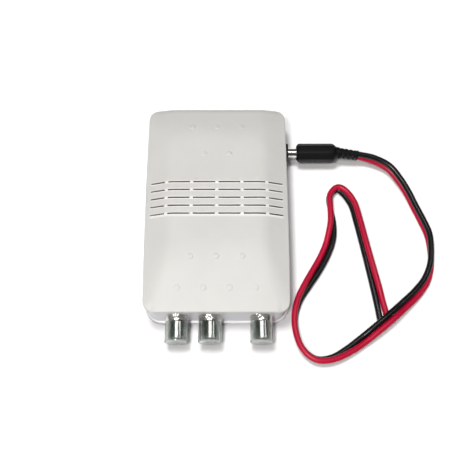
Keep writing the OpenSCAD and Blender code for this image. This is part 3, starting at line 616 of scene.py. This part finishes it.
# %% [markdown]
# Small round pips stand on the cover in rows, as plain ornament. Twelve cylinders could be sunk into it.
# A round grid laid on the crown's own formula follows the slope under it, so no pip hangs over or sinks in.

# %% Pips on the cover
PIP_R, PIP_H = 1.6, 0.34
PIP_ROWS = {48: (-1, 0, 1), 30: (-0.5, 0.5), -31: (-1, 0, 1), -48: (-1.5, -0.5, 0.5, 1.5)}


def pip(px, py):
    """A flat-topped button: a profile of (radius, height) shares, turned upright and set on the crown."""
    profile = np.array([[1.0, -0.6], [1.0, 0.0], [0.97, 0.45], [0.9, 0.8], [0.8, 0.96], [0.6, 1.0], [0, 1.0]])
    t = angles(28)
    x = px + PIP_R * profile[:, :1] * np.cos(t)
    y = py + PIP_R * profile[:, :1] * np.sin(t)
    return skin(grid_of(x, y, crown(x, y) + PIP_H * profile[:, 1:]), wrap_cols=True)


pip_skins = [pip(k * RIB, y) for y, row in PIP_ROWS.items() for k in row]
pips = make_piece("cover_pips", pip_skins, "case", sharp=60)

# %% [markdown]
# The tray under the cover has upright walls, a flange round its foot and a window for the power socket.
# Its profile, carried round the outline, goes out along the flange, up the wall and down inside.
# The window is a few cells of the wall left out, with a short frame between the outer and the inner wall.

# %% Tray walls
FLANGE_R, WALL_R, INSIDE_R = 10.0, 7.5, 5.5
WALL_INSET = 1.2
FOOT = span("base_tray")[1][:2] - FLANGE_R
WALL = HALF - WALL_INSET - WALL_R
# The tray's square grid ends here, before its outline is carried out to the wall and the flange.
TRAY_EDGE = np.array([37.6, 56.6])
TRAY_STEP = 14
CUP_HALF = 4.5
FLOOR_Z = 2.0
FLOOR_SHARE = np.array([0.92, 0.945])
WINDOW_HALF = np.array([5.5, 5.4])
SOCKET_AXIS = np.array([AXIS_Y, AXIS_Z])
SQUARE = np.array([[-1, -1], [1, -1], [1, 1], [-1, 1]])
FLANGE = [(9.7, 0.0), (9.92, 0.08), (FLANGE_R, 0.3), (FLANGE_R, 1.35), (9.88, 1.72), (9.6, 1.93),
          (9.2, FLOOR_Z)]
FILLET = [(8.0, 2.06), (7.75, 2.16), (7.58, 2.4)]
BRIM = [(7.42, PART_Z - 0.08), (7.2, PART_Z), (5.8, PART_Z)]

window_y, window_z = np.stack([SOCKET_AXIS - WINDOW_HALF, SOCKET_AXIS + WINDOW_HALF], axis=1)
side_arc, end_arc = WALL[:, None] + arc * (TRAY_EDGE - WALL)[:, None]
cup_lines = SCREWS[:, None] + np.array([-CUP_HALF, CUP_HALF])[None, :, None]
tray_x, tray_y = np.meshgrid(grid_lines([cup_lines[..., 0], side_arc, -side_arc], TRAY_STEP),
                             grid_lines([cup_lines[..., 1], end_arc, -end_arc, window_y], TRAY_STEP))
stations = [(r, z, FOOT) for r, z in FLANGE] + FILLET
stations += [(WALL_R, z) for z in (2.8, *window_z, PART_Z - 0.3)] + BRIM
stations += [(INSIDE_R, z) for z in (PART_Z - 0.3, *window_z[::-1], 2.6)] + [(4.9, FLOOR_Z)]
foot = grid_of(tray_x, tray_y, 0.0)
floor = grid_of(tray_x * FLOOR_SHARE[0], tray_y * FLOOR_SHARE[1], FLOOR_Z)
wall = edge_rings(tray_x, tray_y, TRAY_EDGE, stations, WALL)
wall = np.concatenate([outline(foot)[None], wall, outline(floor)[None]])
beyond = np.roll(wall, -1, 1)
mid_wall = (wall[:-1] + wall[1:] + beyond[:-1] + beyond[1:]) / 4
window = (np.abs(mid_wall[..., 1:] - SOCKET_AXIS) < WINDOW_HALF).all(-1) & (mid_wall[..., 0] > WALL[0])
wall_faces = cells(*wall.shape[:2], wrap_cols=True)[~window]
corners = SOCKET_AXIS + WINDOW_HALF * SQUARE
frame_ring = np.stack([np.column_stack([np.full(4, WALL[0] + r), corners]) for r in (WALL_R, INSIDE_R)])
print("tray wall of", len(wall_faces), "faces, window of", int(window.sum()), "cells")

# %% [markdown]
# The screws that hold the cover sit in round recesses from below. So the underside has square cells left out,
# each filled by a cup whose rim runs from the square's corners to a circle. Posts inside carry the cover
# and the board.

# %% Tray
CUP_R, CUP_EDGE, CUP_DEPTH = 2.8, 0.2, 2.8
COVER_POST = (4.0, 1.0, 12.0)
BOARD_POST = (2.5, 1.0, 4.2)
BOARD_POSTS = [(-29, 0), (29, 0), (-29, 43.8), (10, 49.8)]


def screw_cup(cx, cy):
    """A round recess in a square cell: the square's corners, then a circle carried up and closed."""
    t = angles(32, 0.5)
    c = np.cos(t)
    s = np.sin(t)
    square = grid_of(cx + CUP_HALF * np.sign(c), cy + CUP_HALF * np.sign(s), 0.0)
    r = np.array([CUP_R + CUP_EDGE, CUP_R, CUP_R, 0])[:, None]
    z = np.array([0, CUP_EDGE, CUP_DEPTH, CUP_DEPTH])[:, None]
    cup = grid_of(cx + r * c, cy + r * s, z)
    return skin(np.concatenate([square[None], cup]), wrap_cols=True)


off = np.abs(np.stack(middles(tray_x, tray_y), -1)[..., None, :] - SCREWS)
recess = (off < CUP_HALF).all(-1).any(-1)
underside = (foot.reshape(-1, 3), cells(*tray_x.shape)[~recess][:, ::-1])
cups = [screw_cup(*at) for at in SCREWS]
posts = [post(*at, *COVER_POST) for at in SCREWS] + [post(*at, *BOARD_POST) for at in BOARD_POSTS]
tray_skins = [underside, (wall.reshape(-1, 3), wall_faces), skin(floor), skin(frame_ring, wrap_cols=True)]
tray = make_piece("tray", tray_skins + cups + posts, "case", ["base_tray"], sharp=32)

# %% [markdown]
# Each coaxial socket is a turned and nickel-plated barrel: a plain shoulder against the case, very slightly
# conical, and a fine screw thread in front of it. A thread could be a stack of rings, but a real one climbs,
# so the radius here depends on the length minus one pitch for each turn of the angle.
# Rings close to each edge keep the straight stretches straight when the mesh is shaded smooth.

# %% Coaxial sockets
SHOULDER_D, SHOULDER_L = 13.0, 3.4
SHOULDER_TAPER = math.tan(math.radians(4.0))
SHOULDER_EDGE = 0.25
THREAD_D, THREAD_L, PITCH, GROOVE = 9.5, 9.2, 0.8, 0.5
BORE_R, TAIL_L = 3.25, 7.5
WALL_Y = -(WALL[1] + WALL_R)
SIDES = ("left", "middle", "right")
SOCKET_X = {side: span("f_body_" + side)[1][0] - SHOULDER_D / 2 for side in SIDES}


def turned(at_x, l, r, t):
    """Distances from the wall and radii, turned about a socket's axis."""
    points = grid_of(at_x + r * np.cos(t), WALL_Y - l, AXIS_Z + r * np.sin(t))
    return skin(points, wrap_rows=True, wrap_cols=True)


def socket_barrel(at_x):
    """Turned profile in l, the distance from the wall, with a triangular groove of one pitch cut round it.

    Groove depth: a constant times the triangle wave of l / pitch - angle / turn, faded out at both ends.
    """
    end = SHOULDER_L + THREAD_L
    barrel = THREAD_D / 2
    rear = np.array([[-TAIL_L, BORE_R], [-TAIL_L, barrel - 0.25], [-TAIL_L + 0.3, barrel], [0, barrel],
                     [0, SHOULDER_D / 2 - SHOULDER_EDGE]])
    cone_l = np.array([0.25, 0.4, 0.55, SHOULDER_L - 0.45, SHOULDER_L - 0.3, SHOULDER_L - 0.15])
    cone_r = SHOULDER_D / 2 - SHOULDER_TAPER * (cone_l - SHOULDER_EDGE)
    step = np.array([[SHOULDER_L, cone_r[-1] - 0.15], [SHOULDER_L, barrel - 0.4]])
    plain = np.concatenate([rear, np.column_stack([cone_l, cone_r]), step])
    thread_l = np.linspace(SHOULDER_L + 0.1, end - 0.1, 104)
    close = np.array([[end, barrel - 0.75], [end, BORE_R + 0.2], [end - 0.2, BORE_R], [end - 2, BORE_R]])
    l = np.concatenate([plain[:, 0], thread_l, close[:, 0]])[:, None]
    base = np.concatenate([plain[:, 1], np.full(len(thread_l), barrel), close[:, 1]])[:, None]
    t = angles(72)
    wave = np.abs(2 * np.mod(l / PITCH - t / (2 * np.pi), 1) - 1)
    fade = np.clip(np.minimum(l - SHOULDER_L - 0.3, end - 0.35 - l) / 0.5, 0, 1)
    in_thread = (l > SHOULDER_L) & (l < end)
    return turned(at_x, l, np.where(in_thread, base - GROOVE * (1 - fade * (1 - wave)), base), t)


sockets = [make_piece(f"socket_{side}", [socket_barrel(at)], "case", [f"f_body_{side}"], sharp=45)
           for side, at in SOCKET_X.items()]

# %% [markdown]
# A clear push-on cap covers each socket. It is one thin cup that flares a little towards its end,
# with a bead round the nose and a small dimple where the plastic entered the mould.
# It could be one surface with a thin-glass trick. It is modelled with both its faces,
# because light bends twice on its way through the wall.

# %% Clear caps
CAP_CLEAR, CAP_L = 0.3, 10.9
CAP_R, FLARE_R, BEAD_R = 6.3, 6.36, 6.5
CAP_BORE, CAP_END = 5.1, 0.8
NOSE_R = 0.5
DIMPLE, DIMPLE_R, DIMPLE_SLOPE = 0.3, 1.5, 0.7


def clear_cap(at_x):
    """A closed profile of (distance from the wall, radius), outside then inside, turned about the socket."""
    mouth = SHOULDER_L + CAP_CLEAR
    nose = mouth + CAP_L
    deep = nose - CAP_END
    bend = np.radians(np.linspace(0, 90, 6))[1:]
    outer = np.array([[mouth, CAP_R - 0.08], [mouth + 0.15, CAP_R], [mouth + 0.3, CAP_R],
                      [nose - 1.7, FLARE_R], [nose - 1.5, FLARE_R], [nose - 1.1, FLARE_R + 0.06],
                      [nose - 0.9, BEAD_R]])
    nose_arc = np.array([nose, BEAD_R]) + NOSE_R * (np.column_stack([np.sin(bend), np.cos(bend)]) - 1)
    end = np.array([[nose, DIMPLE_R + DIMPLE_SLOPE], [nose - DIMPLE, DIMPLE_R], [nose - DIMPLE, 0]])
    inner = np.array([[deep, 0], [deep, CAP_BORE - 0.4], [deep - 0.15, CAP_BORE - 0.1],
                      [deep - 0.4, CAP_BORE], [deep - 0.6, CAP_BORE], [mouth + 0.4, CAP_BORE],
                      [mouth + 0.2, CAP_BORE], [mouth, CAP_BORE + 0.2]])
    profile = np.concatenate([outer, nose_arc, end, inner])
    return turned(at_x, profile[:, :1], profile[:, 1:], angles(64))


caps = [make_piece(f"clear_cap_{side}", [clear_cap(at)], f"cap_{side}", [f"dust_cap_{side}"])
        for side, at in SOCKET_X.items()]

# %% [markdown]
# The power socket is a black block in the tray's window, with a collar that stands a little out of it:
# square above, round below, and with a round hole for the plug.
# A cube and a cylinder could be joined. Here one skin starts as a rounded square at the back, comes forward,
# steps in to the collar, turns over the front edge and goes down the hole, all on one grid.

# %% Power socket
jack_low, jack_high = span("dc_jack_housing")
BLOCK = (jack_high - jack_low)[1:] / 2
BACK_X, FACE_X, COLLAR_X, BOTTOM_X = jack_low[0], 40.35, jack_high[0], 31.5
HOLE_R = 3.2
POINT = ((0.01, 0.01), 0.01)
BLOCK_RINGS = [(BLOCK - 0.3, 0.4, BACK_X), (BLOCK, 0.5, BACK_X + 0.3), (BLOCK, 0.5, FACE_X - 0.25),
               (BLOCK - 0.1, 0.5, FACE_X - 0.05), (BLOCK - 0.3, 0.5, FACE_X)]
COLLAR_RINGS = [(4.72, 2.2, FACE_X), (4.7, 2.2, FACE_X + 0.15), (4.7, 2.2, COLLAR_X - 0.35),
                (4.6, 2.1, COLLAR_X - 0.1), (4.35, 1.9, COLLAR_X)]
HOLE_RINGS = [(3.6, COLLAR_X), (3.3, COLLAR_X - 0.15), (HOLE_R, COLLAR_X - 0.4), (HOLE_R, BOTTOM_X)]


def square_ring(half, radius, x, below=None):
    """A square of rounded corners, seen along X: at each angle the core's corner plus the radius."""
    t = angles(48, 0.5)
    c = np.cos(t)
    s = np.sin(t)
    radius = np.where(s > 0, radius, below or radius)
    share = np.clip(np.tan(np.abs(np.mod(t + np.pi / 4, np.pi / 2) - np.pi / 4)), 0, 1) ** 0.35
    along_y = np.where(np.abs(c) >= np.abs(s), 1.0, share)
    along_z = np.where(np.abs(s) >= np.abs(c), 1.0, share)
    y = AXIS_Y + np.sign(c) * (half[0] - radius) * along_y + radius * c
    z = AXIS_Z + np.sign(s) * (half[1] - radius) * along_z + radius * s
    return grid_of(x, y, z)


stations = [(*POINT, BACK_X), *BLOCK_RINGS]
stations += [((half, half), radius, x, half) for half, radius, x in COLLAR_RINGS]
stations += [((half, half), half, x) for half, x in HOLE_RINGS] + [(*POINT, BOTTOM_X)]
jack_skin = skin(np.stack([square_ring(*s) for s in stations]), wrap_cols=True)
power_socket = make_piece("power_socket", [jack_skin], "case", ["dc_jack_housing"], sharp=40)

# %% [markdown]
# Now the finishes. Blender builds a finish from nodes joined by links, and long node code is hard to read.
# A small class wraps one output socket, so sums on values are written as Python sums,
# and one method makes any other node from its settings and its inputs.

# %% Shader arithmetic
class Wire:
    """One output socket in a finish. Sums on it add Math nodes, and make() adds any other node."""

    def __init__(self, tree, socket):
        self.tree = tree
        self.socket = socket

    def make(self, kind, settings, inputs, out=0):
        """A new node of this kind: its settings first, then a value or a link for each input."""
        node = self.tree.nodes.new("ShaderNode" + kind)
        for key, value in settings.items():
            setattr(node, key, value)
        plug_in(node, inputs)
        return Wire(self.tree, node.outputs[out])

    def math(self, operation, a, b):
        """One Math node on two values."""
        return self.make("Math", {"operation": operation}, {0: a, 1: b})

    def __add__(self, other):
        return self.math("ADD", self, other)

    def __sub__(self, other):
        return self.math("SUBTRACT", self, other)

    def __mul__(self, other):
        return self.math("MULTIPLY", self, other)

    def __rsub__(self, other):
        return self.math("SUBTRACT", other, self)

    __radd__ = __add__
    __rmul__ = __mul__

    def between(self, low, high):
        """0 where the value is at or under low, 1 where it is at or over high."""
        return self.make("MapRange", {}, {"Value": self, "From Min": low, "From Max": high})

    def mix(self, a, b):
        """Colour a where the value is 0 and colour b where it is 1."""
        return self.make("Mix", {"data_type": "RGBA"}, {0: self, 6: a, 7: b}, 2)

    def noise(self, size_mm, detail=2.0):
        """Cloudy values with blots of about this size, read at this place."""
        return self.make("TexNoise", {}, {"Vector": self, "Scale": 1 / (size_mm * MM), "Detail": detail})

    def stretched(self, x, y, z):
        """This place with its three directions scaled."""
        return self.make("VectorMath", {"operation": "MULTIPLY"}, {0: self, 1: (x, y, z)})

    def bump(self, depth_mm, strength=1.0):
        """A surface direction that follows this value as a height."""
        return self.make("Bump", {}, {"Height": self, "Distance": depth_mm * MM, "Strength": strength})


def plug_in(node, inputs):
    """Sets or links each named input of a node."""
    for key, value in inputs.items():
        if isinstance(value, Wire):
            node.id_data.links.new(value.socket, node.inputs[key])
        else:
            node.inputs[key].default_value = value


print("blots of 25 mm need a noise scale of", round(1 / (25 * MM)))

# %% [markdown]
# Every finish starts as a new material with Blender's all-round shader, and reads the place on the object.
# A finish could be given to each face. Here each piece is one material on the real object too,
# so it gets one finish, and pieces of the same stuff share it.

# %% Giving out finishes
def new_finish(name):
    """An empty finish: its material, its shader and the place on the object."""
    finish = bpy.data.materials.new(name)
    finish.use_nodes = True
    tree = finish.node_tree
    place = Wire(tree, tree.nodes.new("ShaderNodeTexCoord").outputs["Object"])
    return finish, tree.nodes["Principled BSDF"], place


def tint(colour, share):
    """A colour made lighter or darker by a share, with full opacity."""
    return (*[min(1.0, c * share) for c in colour], 1.0)


def dress(finish, *pieces):
    """Gives pieces, or construction nodes by name, this finish alone."""
    for piece in pieces:
        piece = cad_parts[piece] if isinstance(piece, str) else piece
        piece.data.materials.clear()
        piece.data.materials.append(finish)
    print(finish.name, "on", len(pieces), "pieces")


print("construction nodes that may need a finish:", len(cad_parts))

# %% [markdown]
# Plastic from a mould is never one flat colour. It has a slow drift of shade, a fine grain left by the
# mould's surface, and a gloss that changes with the grain. The case is satin and warm grey, with a painted
# highlight along the front edges of its slots and painted shade down in them. The tray is slightly glossier,
# with a cool tint that is painted bluish shade, and the black parts are nearly matt.

# %% Moulded plastics
# Pale colour of the painted highlight on the slot edges, then the dark brown of the painted shade in the
# slots.
LIP_HIGHLIGHT_COLOUR = (0.95, 0.945, 0.93, 1)
SLOT_SHADE_COLOUR = (0.11, 0.06, 0.024, 1)


def moulded(name, colour, rough, grain_mm=0.45, depth_mm=0.012, drift=0.025, coat=0.0, shine=0.5,
            vents=False):
    """Colour drifts by a share over about 25 mm, roughness and height follow a fine grain."""
    finish, shader, place = new_finish(name)
    slow = place.noise(25.0, 3.0).between(0.3, 0.7)
    grain = place.noise(grain_mm, 3.0)
    speck = place.noise(grain_mm * 6, 2.0).between(0.62, 0.8)
    shade = slow.mix(tint(colour, 1 - drift), tint(colour, 1 + drift))
    shade = (speck * 0.25).mix(shade, tint(colour, 1 - 3 * drift))
    if vents:
        marks = place.make("Attribute", {"attribute_name": "vent"}, {}, 1)
        # Painted highlight on the slots' front edges and the ribs.
        shade = marks.make("SeparateXYZ", {}, {0: marks}, 1).mix(shade, LIP_HIGHLIGHT_COLOUR)
        # Painted shade darkens the slots and their back lips.
        shade = marks.make("SeparateXYZ", {}, {0: marks}, 0).mix(shade, SLOT_SHADE_COLOUR)
    plug_in(shader, {"Base Color": shade, "Roughness": rough + 0.16 * (grain - 0.5),
                     "Normal": grain.bump(depth_mm), "Coat Weight": coat, "Coat Roughness": 0.25,
                     "Specular IOR Level": shine})
    return finish


dress(moulded("case_plastic", (0.72, 0.714, 0.685), 0.45, vents=True), cover, pips)
# The tray's cool tint is painted shade: the bluish light of the sky on its walls.
dress(moulded("tray_plastic", (0.76, 0.755, 0.78), 0.34, coat=0.15), tray)
dress(moulded("black_plastic", (0.010, 0.010, 0.011), 0.42, drift=0.12, shine=0.3),
      power_socket, "plug_insulator")
dress(moulded("plug_rubber", (0.006, 0.006, 0.007), 0.5, grain_mm=0.3, depth_mm=0.02, drift=0.15, shine=0.16),
      plug_grip)
dress(moulded("white_insulator", (0.78, 0.78, 0.75), 0.45, drift=0.02), *["f_insulator_" + s for s in SIDES])

# %% [markdown]
# Metal shows its making: turned parts carry fine rings round their axis, rolled tin carries lines along
# the sheet, and plating has faint clouds. The lines are noise, stretched until each blot becomes a streak.

# %% Metals
def metal(name, colour, rough, streak, depth_mm=0.004, cloud=0.08):
    """Gloss and height follow streaks: noise squeezed along one direction and drawn out along the others."""
    finish, shader, place = new_finish(name)
    lines = place.stretched(*streak).noise(0.6, 2.0)
    clouds = place.noise(4.0, 3.0).between(0.35, 0.75)
    shade = clouds.mix(tint(colour, 1 + cloud / 2), tint(colour, 1 - cloud))
    plug_in(shader, {"Base Color": shade, "Metallic": 1.0, "Normal": lines.bump(depth_mm),
                     "Roughness": rough + 0.14 * (lines - 0.5) + 0.05 * clouds})
    return finish


dress(metal("nickel", (0.72, 0.71, 0.68), 0.13, (0.1, 6.0, 0.1), depth_mm=0.08),
      *sockets, "connector_washers", "connector_nuts", "dc_jack_pin")
dress(metal("plug_nickel", (0.74, 0.73, 0.70), 0.08, (3.0, 0.15, 0.15)), "plug_sleeve")
dress(metal("zinc_steel", (0.60, 0.61, 0.63), 0.34, (1.0, 1.0, 0.3), cloud=0.15),
      "case_screws", "board_screws")
dress(metal("brass", (0.72, 0.52, 0.22), 0.28, (0.3, 2.0, 0.3)),
      *["f_contact_" + s for s in SIDES], "dc_jack_spring", "plug_inner_contact")
dress(metal("tinned_copper", (0.66, 0.64, 0.61), 0.36, (1.5, 0.2, 1.5), cloud=0.15),
      red_end, black_end, "dc_jack_terminals")
dress(metal("tinplate", (0.64, 0.65, 0.66), 0.3, (0.1, 2.5, 2.5), cloud=0.12), "shield_fence", "shield_lid")

# %% [markdown]
# The caps are clear plastic with a trace of green grey. Light passes through them and bends,
# so the shader is glass-like, with a gloss that is a little uneven and a few faint flow lines from the mould.

# %% Clear plastic
def clear_plastic(name, colour):
    """A see-through shader: light that passes takes the colour, and shallow streaks disturb the surface."""
    finish, shader, place = new_finish(name)
    flow = place.stretched(1.0, 0.25, 1.0).noise(2.5, 2.0)
    plug_in(shader, {"Base Color": flow.between(0.3, 0.7).mix(tint(colour, 0.97), tint(colour, 1.0)),
                     "Roughness": 0.05 + 0.06 * flow, "Normal": flow.bump(0.05, 0.4),
                     "Transmission Weight": 1.0, "IOR": 1.12, "Coat Weight": 1.0, "Coat Roughness": 0.05})
    return finish


dress(clear_plastic("clear_plastic", (0.60, 0.64, 0.615)), *caps)

# %% [markdown]
# The flex is soft vinyl, drawn through a die: satin, with faint lines along it and a slow change of shade.
# Its pattern reads what was stored with each ring, the angle round the wire and the distance along it,
# so that it follows every bend.

# %% Vinyl of the lead
def vinyl(name, colour, rough, shine):
    """Streaks from noise at (cos angle, sin angle, distance), and blots of shade every few centimetres."""
    finish, shader, place = new_finish(name)
    along = place.make("Attribute", {"attribute_name": "along"}, {}, 1)
    drawn = along.make("TexNoise", {},
                       {"Vector": along.stretched(1, 1, 0.03), "Scale": 5.0, "Detail": 2.0})
    blots = along.make("TexNoise", {},
                       {"Vector": along.stretched(0.5, 0.5, 0.06), "Scale": 1.0, "Detail": 2.0})
    plug_in(shader, {"Base Color": blots.between(0.3, 0.7).mix(tint(colour, 0.9), tint(colour, 1.08)),
                     "Roughness": rough + 0.12 * (drawn - 0.5), "Normal": drawn.bump(0.02, 0.6),
                     "Specular IOR Level": shine})
    return finish


dress(vinyl("red_pvc", (0.55, 0.004, 0.04), 0.34, 0.26), red_flex)
dress(vinyl("black_pvc", (0.005, 0.005, 0.006), 0.27, 0.33), black_flex)

# %% [markdown]
# Inside the case are the board and its parts. They hardly show through the vents, but whoever opens the model
# finds them, so each has its own finish: green resist with the copper showing faintly, dull black chips,
# ferrite and glaze.

# %% Board and parts
BLACK, WHITE = (0, 0, 0, 1), (1, 1, 1, 1)


def resist(name, green, copper):
    """Green lacquer, lighter where copper lies under it: straight tracks from a brick pattern, and clouds."""
    finish, shader, place = new_finish(name)
    tracks = place.make("TexBrick", {"offset": 0.37},
                        {"Vector": place, "Scale": 90.0, "Mortar Size": 0.03, "Brick Width": 0.9,
                         "Row Height": 0.22, "Color1": BLACK, "Color2": BLACK, "Mortar": WHITE}, 1)
    cloud = place.noise(9.0, 2.0)
    plug_in(shader, {"Base Color": (tracks * 0.7 + 0.2 * cloud).mix((*green, 1), (*copper, 1)),
                     "Roughness": 0.3 + 0.15 * cloud, "Normal": tracks.bump(0.03)})
    return finish


dress(resist("board_green", (0.012, 0.10, 0.035), (0.06, 0.25, 0.08)), "circuit_board")
dress(moulded("chip_black", (0.022, 0.022, 0.024), 0.55, drift=0.12),
      "amplifier_chips", "voltage_regulator", "protection_diode")
dress(moulded("capacitor_sleeve", (0.02, 0.025, 0.09), 0.3, drift=0.1), "electrolytic_capacitors")
dress(moulded("ferrite", (0.05, 0.05, 0.055), 0.6, grain_mm=0.25, depth_mm=0.04, drift=0.15),
      "power_choke", "splitter_core")
dress(moulded("chip_ceramic", (0.42, 0.33, 0.22), 0.4, drift=0.08), "chip_components")

# %% [markdown]
# The object lies on a large sheet of white paper. A plain diffuse sheet would turn grey far from the lamps.
# So the sheet is a little paler to the eye, and further away it fades to pure white. Both happen only for
# what the camera, a mirror or clear plastic sees, so the light on the object stays plain.

# %% Table
TABLE_HALF, TABLE_Z = 3.0, -0.0002
PAPER, PAPER_SEEN = (0.49, 0.49, 0.49, 1), (0.63, 0.63, 0.63, 1)
FADE_FROM, FADE_TO = 0.08, 1.1

table_mesh = bpy.data.meshes.new("table")
table_points = np.column_stack([TABLE_HALF * SQUARE, np.full(4, TABLE_Z)])
table_mesh.from_pydata(table_points.tolist(), [], [(0, 1, 2, 3)])
table = bpy.data.objects.new("table", table_mesh)
bpy.context.scene.collection.objects.link(table)
table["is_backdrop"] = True
table_finish, _, place = new_finish("table_white")
seen = place.make("LightPath", {}, {}, "Is Camera Ray")
for ray in ("Is Glossy Ray", "Is Transmission Ray"):
    seen = seen.math("MAXIMUM", seen, place.make("LightPath", {}, {}, ray))
paper = place.make("BsdfDiffuse", {}, {"Color": seen.mix(PAPER, PAPER_SEEN)})
far = place.make("VectorMath", {"operation": "LENGTH"}, {0: place}, 1).between(FADE_FROM, FADE_TO)
glow = place.make("Emission", {}, {"Color": WHITE, "Strength": far * seen})
both = glow.make("AddShader", {}, {0: paper, 1: glow})
plug_in(table_finish.node_tree.nodes["Material Output"], {"Surface": both})
table_mesh.materials.append(table_finish)
print("table of", 2 * TABLE_HALF, "m")

# %% [markdown]
# The room is dim, a little lighter overhead, and white only where the camera looks straight at it.
# A softbox high at the front left lights the case, and a large weak window lamp fills its front.
# A strip lamp above draws the long bright line on the round metal, and a small one at the right, which
# shows in reflections alone, adds the second line on the caps.
# The table has a lamp of its own almost straight above. Light linking keeps it off the object,
# so the soft shadow falls to the front and right while the front of the case stays bright.

# %% Light
AIM = (0.03, 0, 0)
SKY_LOW, SKY_HIGH = (0.02, 0.02, 0.022, 1), (0.2, 0.2, 0.215, 1)

world = bpy.data.worlds.new("room")
bpy.context.scene.world = world
world.use_nodes = True
sky_tree = world.node_tree
direction = Wire(sky_tree, sky_tree.nodes.new("ShaderNodeTexCoord").outputs["Generated"])
height = direction.make("SeparateXYZ", {}, {0: direction}, 2)
sky = height.between(0.3, 1.0).mix(SKY_LOW, SKY_HIGH)
seen = height.make("LightPath", {}, {}, "Is Camera Ray")
plug_in(sky_tree.nodes["Background"], {"Color": seen.mix(sky, WHITE), "Strength": 1.0})


def lamp(name, at, aim, size, power, colour):
    """A soft lamp of a given width and depth at a place, turned to face a point."""
    data = bpy.data.lights.new(name, "AREA")
    data.shape = "RECTANGLE"
    data.size, data.size_y = size
    data.energy = power
    data.color = colour
    lamp_object = bpy.data.objects.new(name, data)
    back = unit(np.array(at) - np.array(aim))
    side = unit(np.cross([0, 0, 1.0], back))
    axes = np.column_stack([side, np.cross(back, side), back, at])
    lamp_object.matrix_world = Matrix(np.vstack([axes, [0, 0, 0, 1]]))
    bpy.context.scene.collection.objects.link(lamp_object)
    print("lamp", name, "of", power, "W")
    return lamp_object


lamp("softbox", (-0.145, -0.32, 0.9), AIM, (0.13, 0.13), 5.5, (1.0, 0.985, 0.96))
lamp("strip", (0.02, 0.055, 0.5), (0.02, 0, 0), (0.27, 0.045), 0.56, (1.0, 0.99, 0.98))
lamp("window", (-0.35, -0.8, 0.6), AIM, (0.5, 0.5), 1.25, (0.97, 0.98, 1.0))
edge_lamp = lamp("edge", (0.37, 0.083, 0.5), (0, -0.065, 0.012), (0.07, 0.11), 0.26, (1.0, 1.0, 1.0))
edge_lamp.visible_diffuse = False
table_lamp = lamp("overhead", (-0.1, 0.055, 0.9), AIM, (0.18, 0.18), 7.0, (1.0, 0.99, 0.985))
table_only = bpy.data.collections.new("table_only")
table_only.objects.link(table)
table_lamp.light_linking.receiver_collection = table_only

# %% [markdown]
# Last, the dressed model is measured against the construction model: dressing must not change its size.

# %% Measure and finish
low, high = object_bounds()
lower = np.round((np.array(low) - cad_low) / MM, 2)
higher = np.round((np.array(high) - cad_high) / MM, 2)
print("visual box minus construction box, mm:", lower, higher)
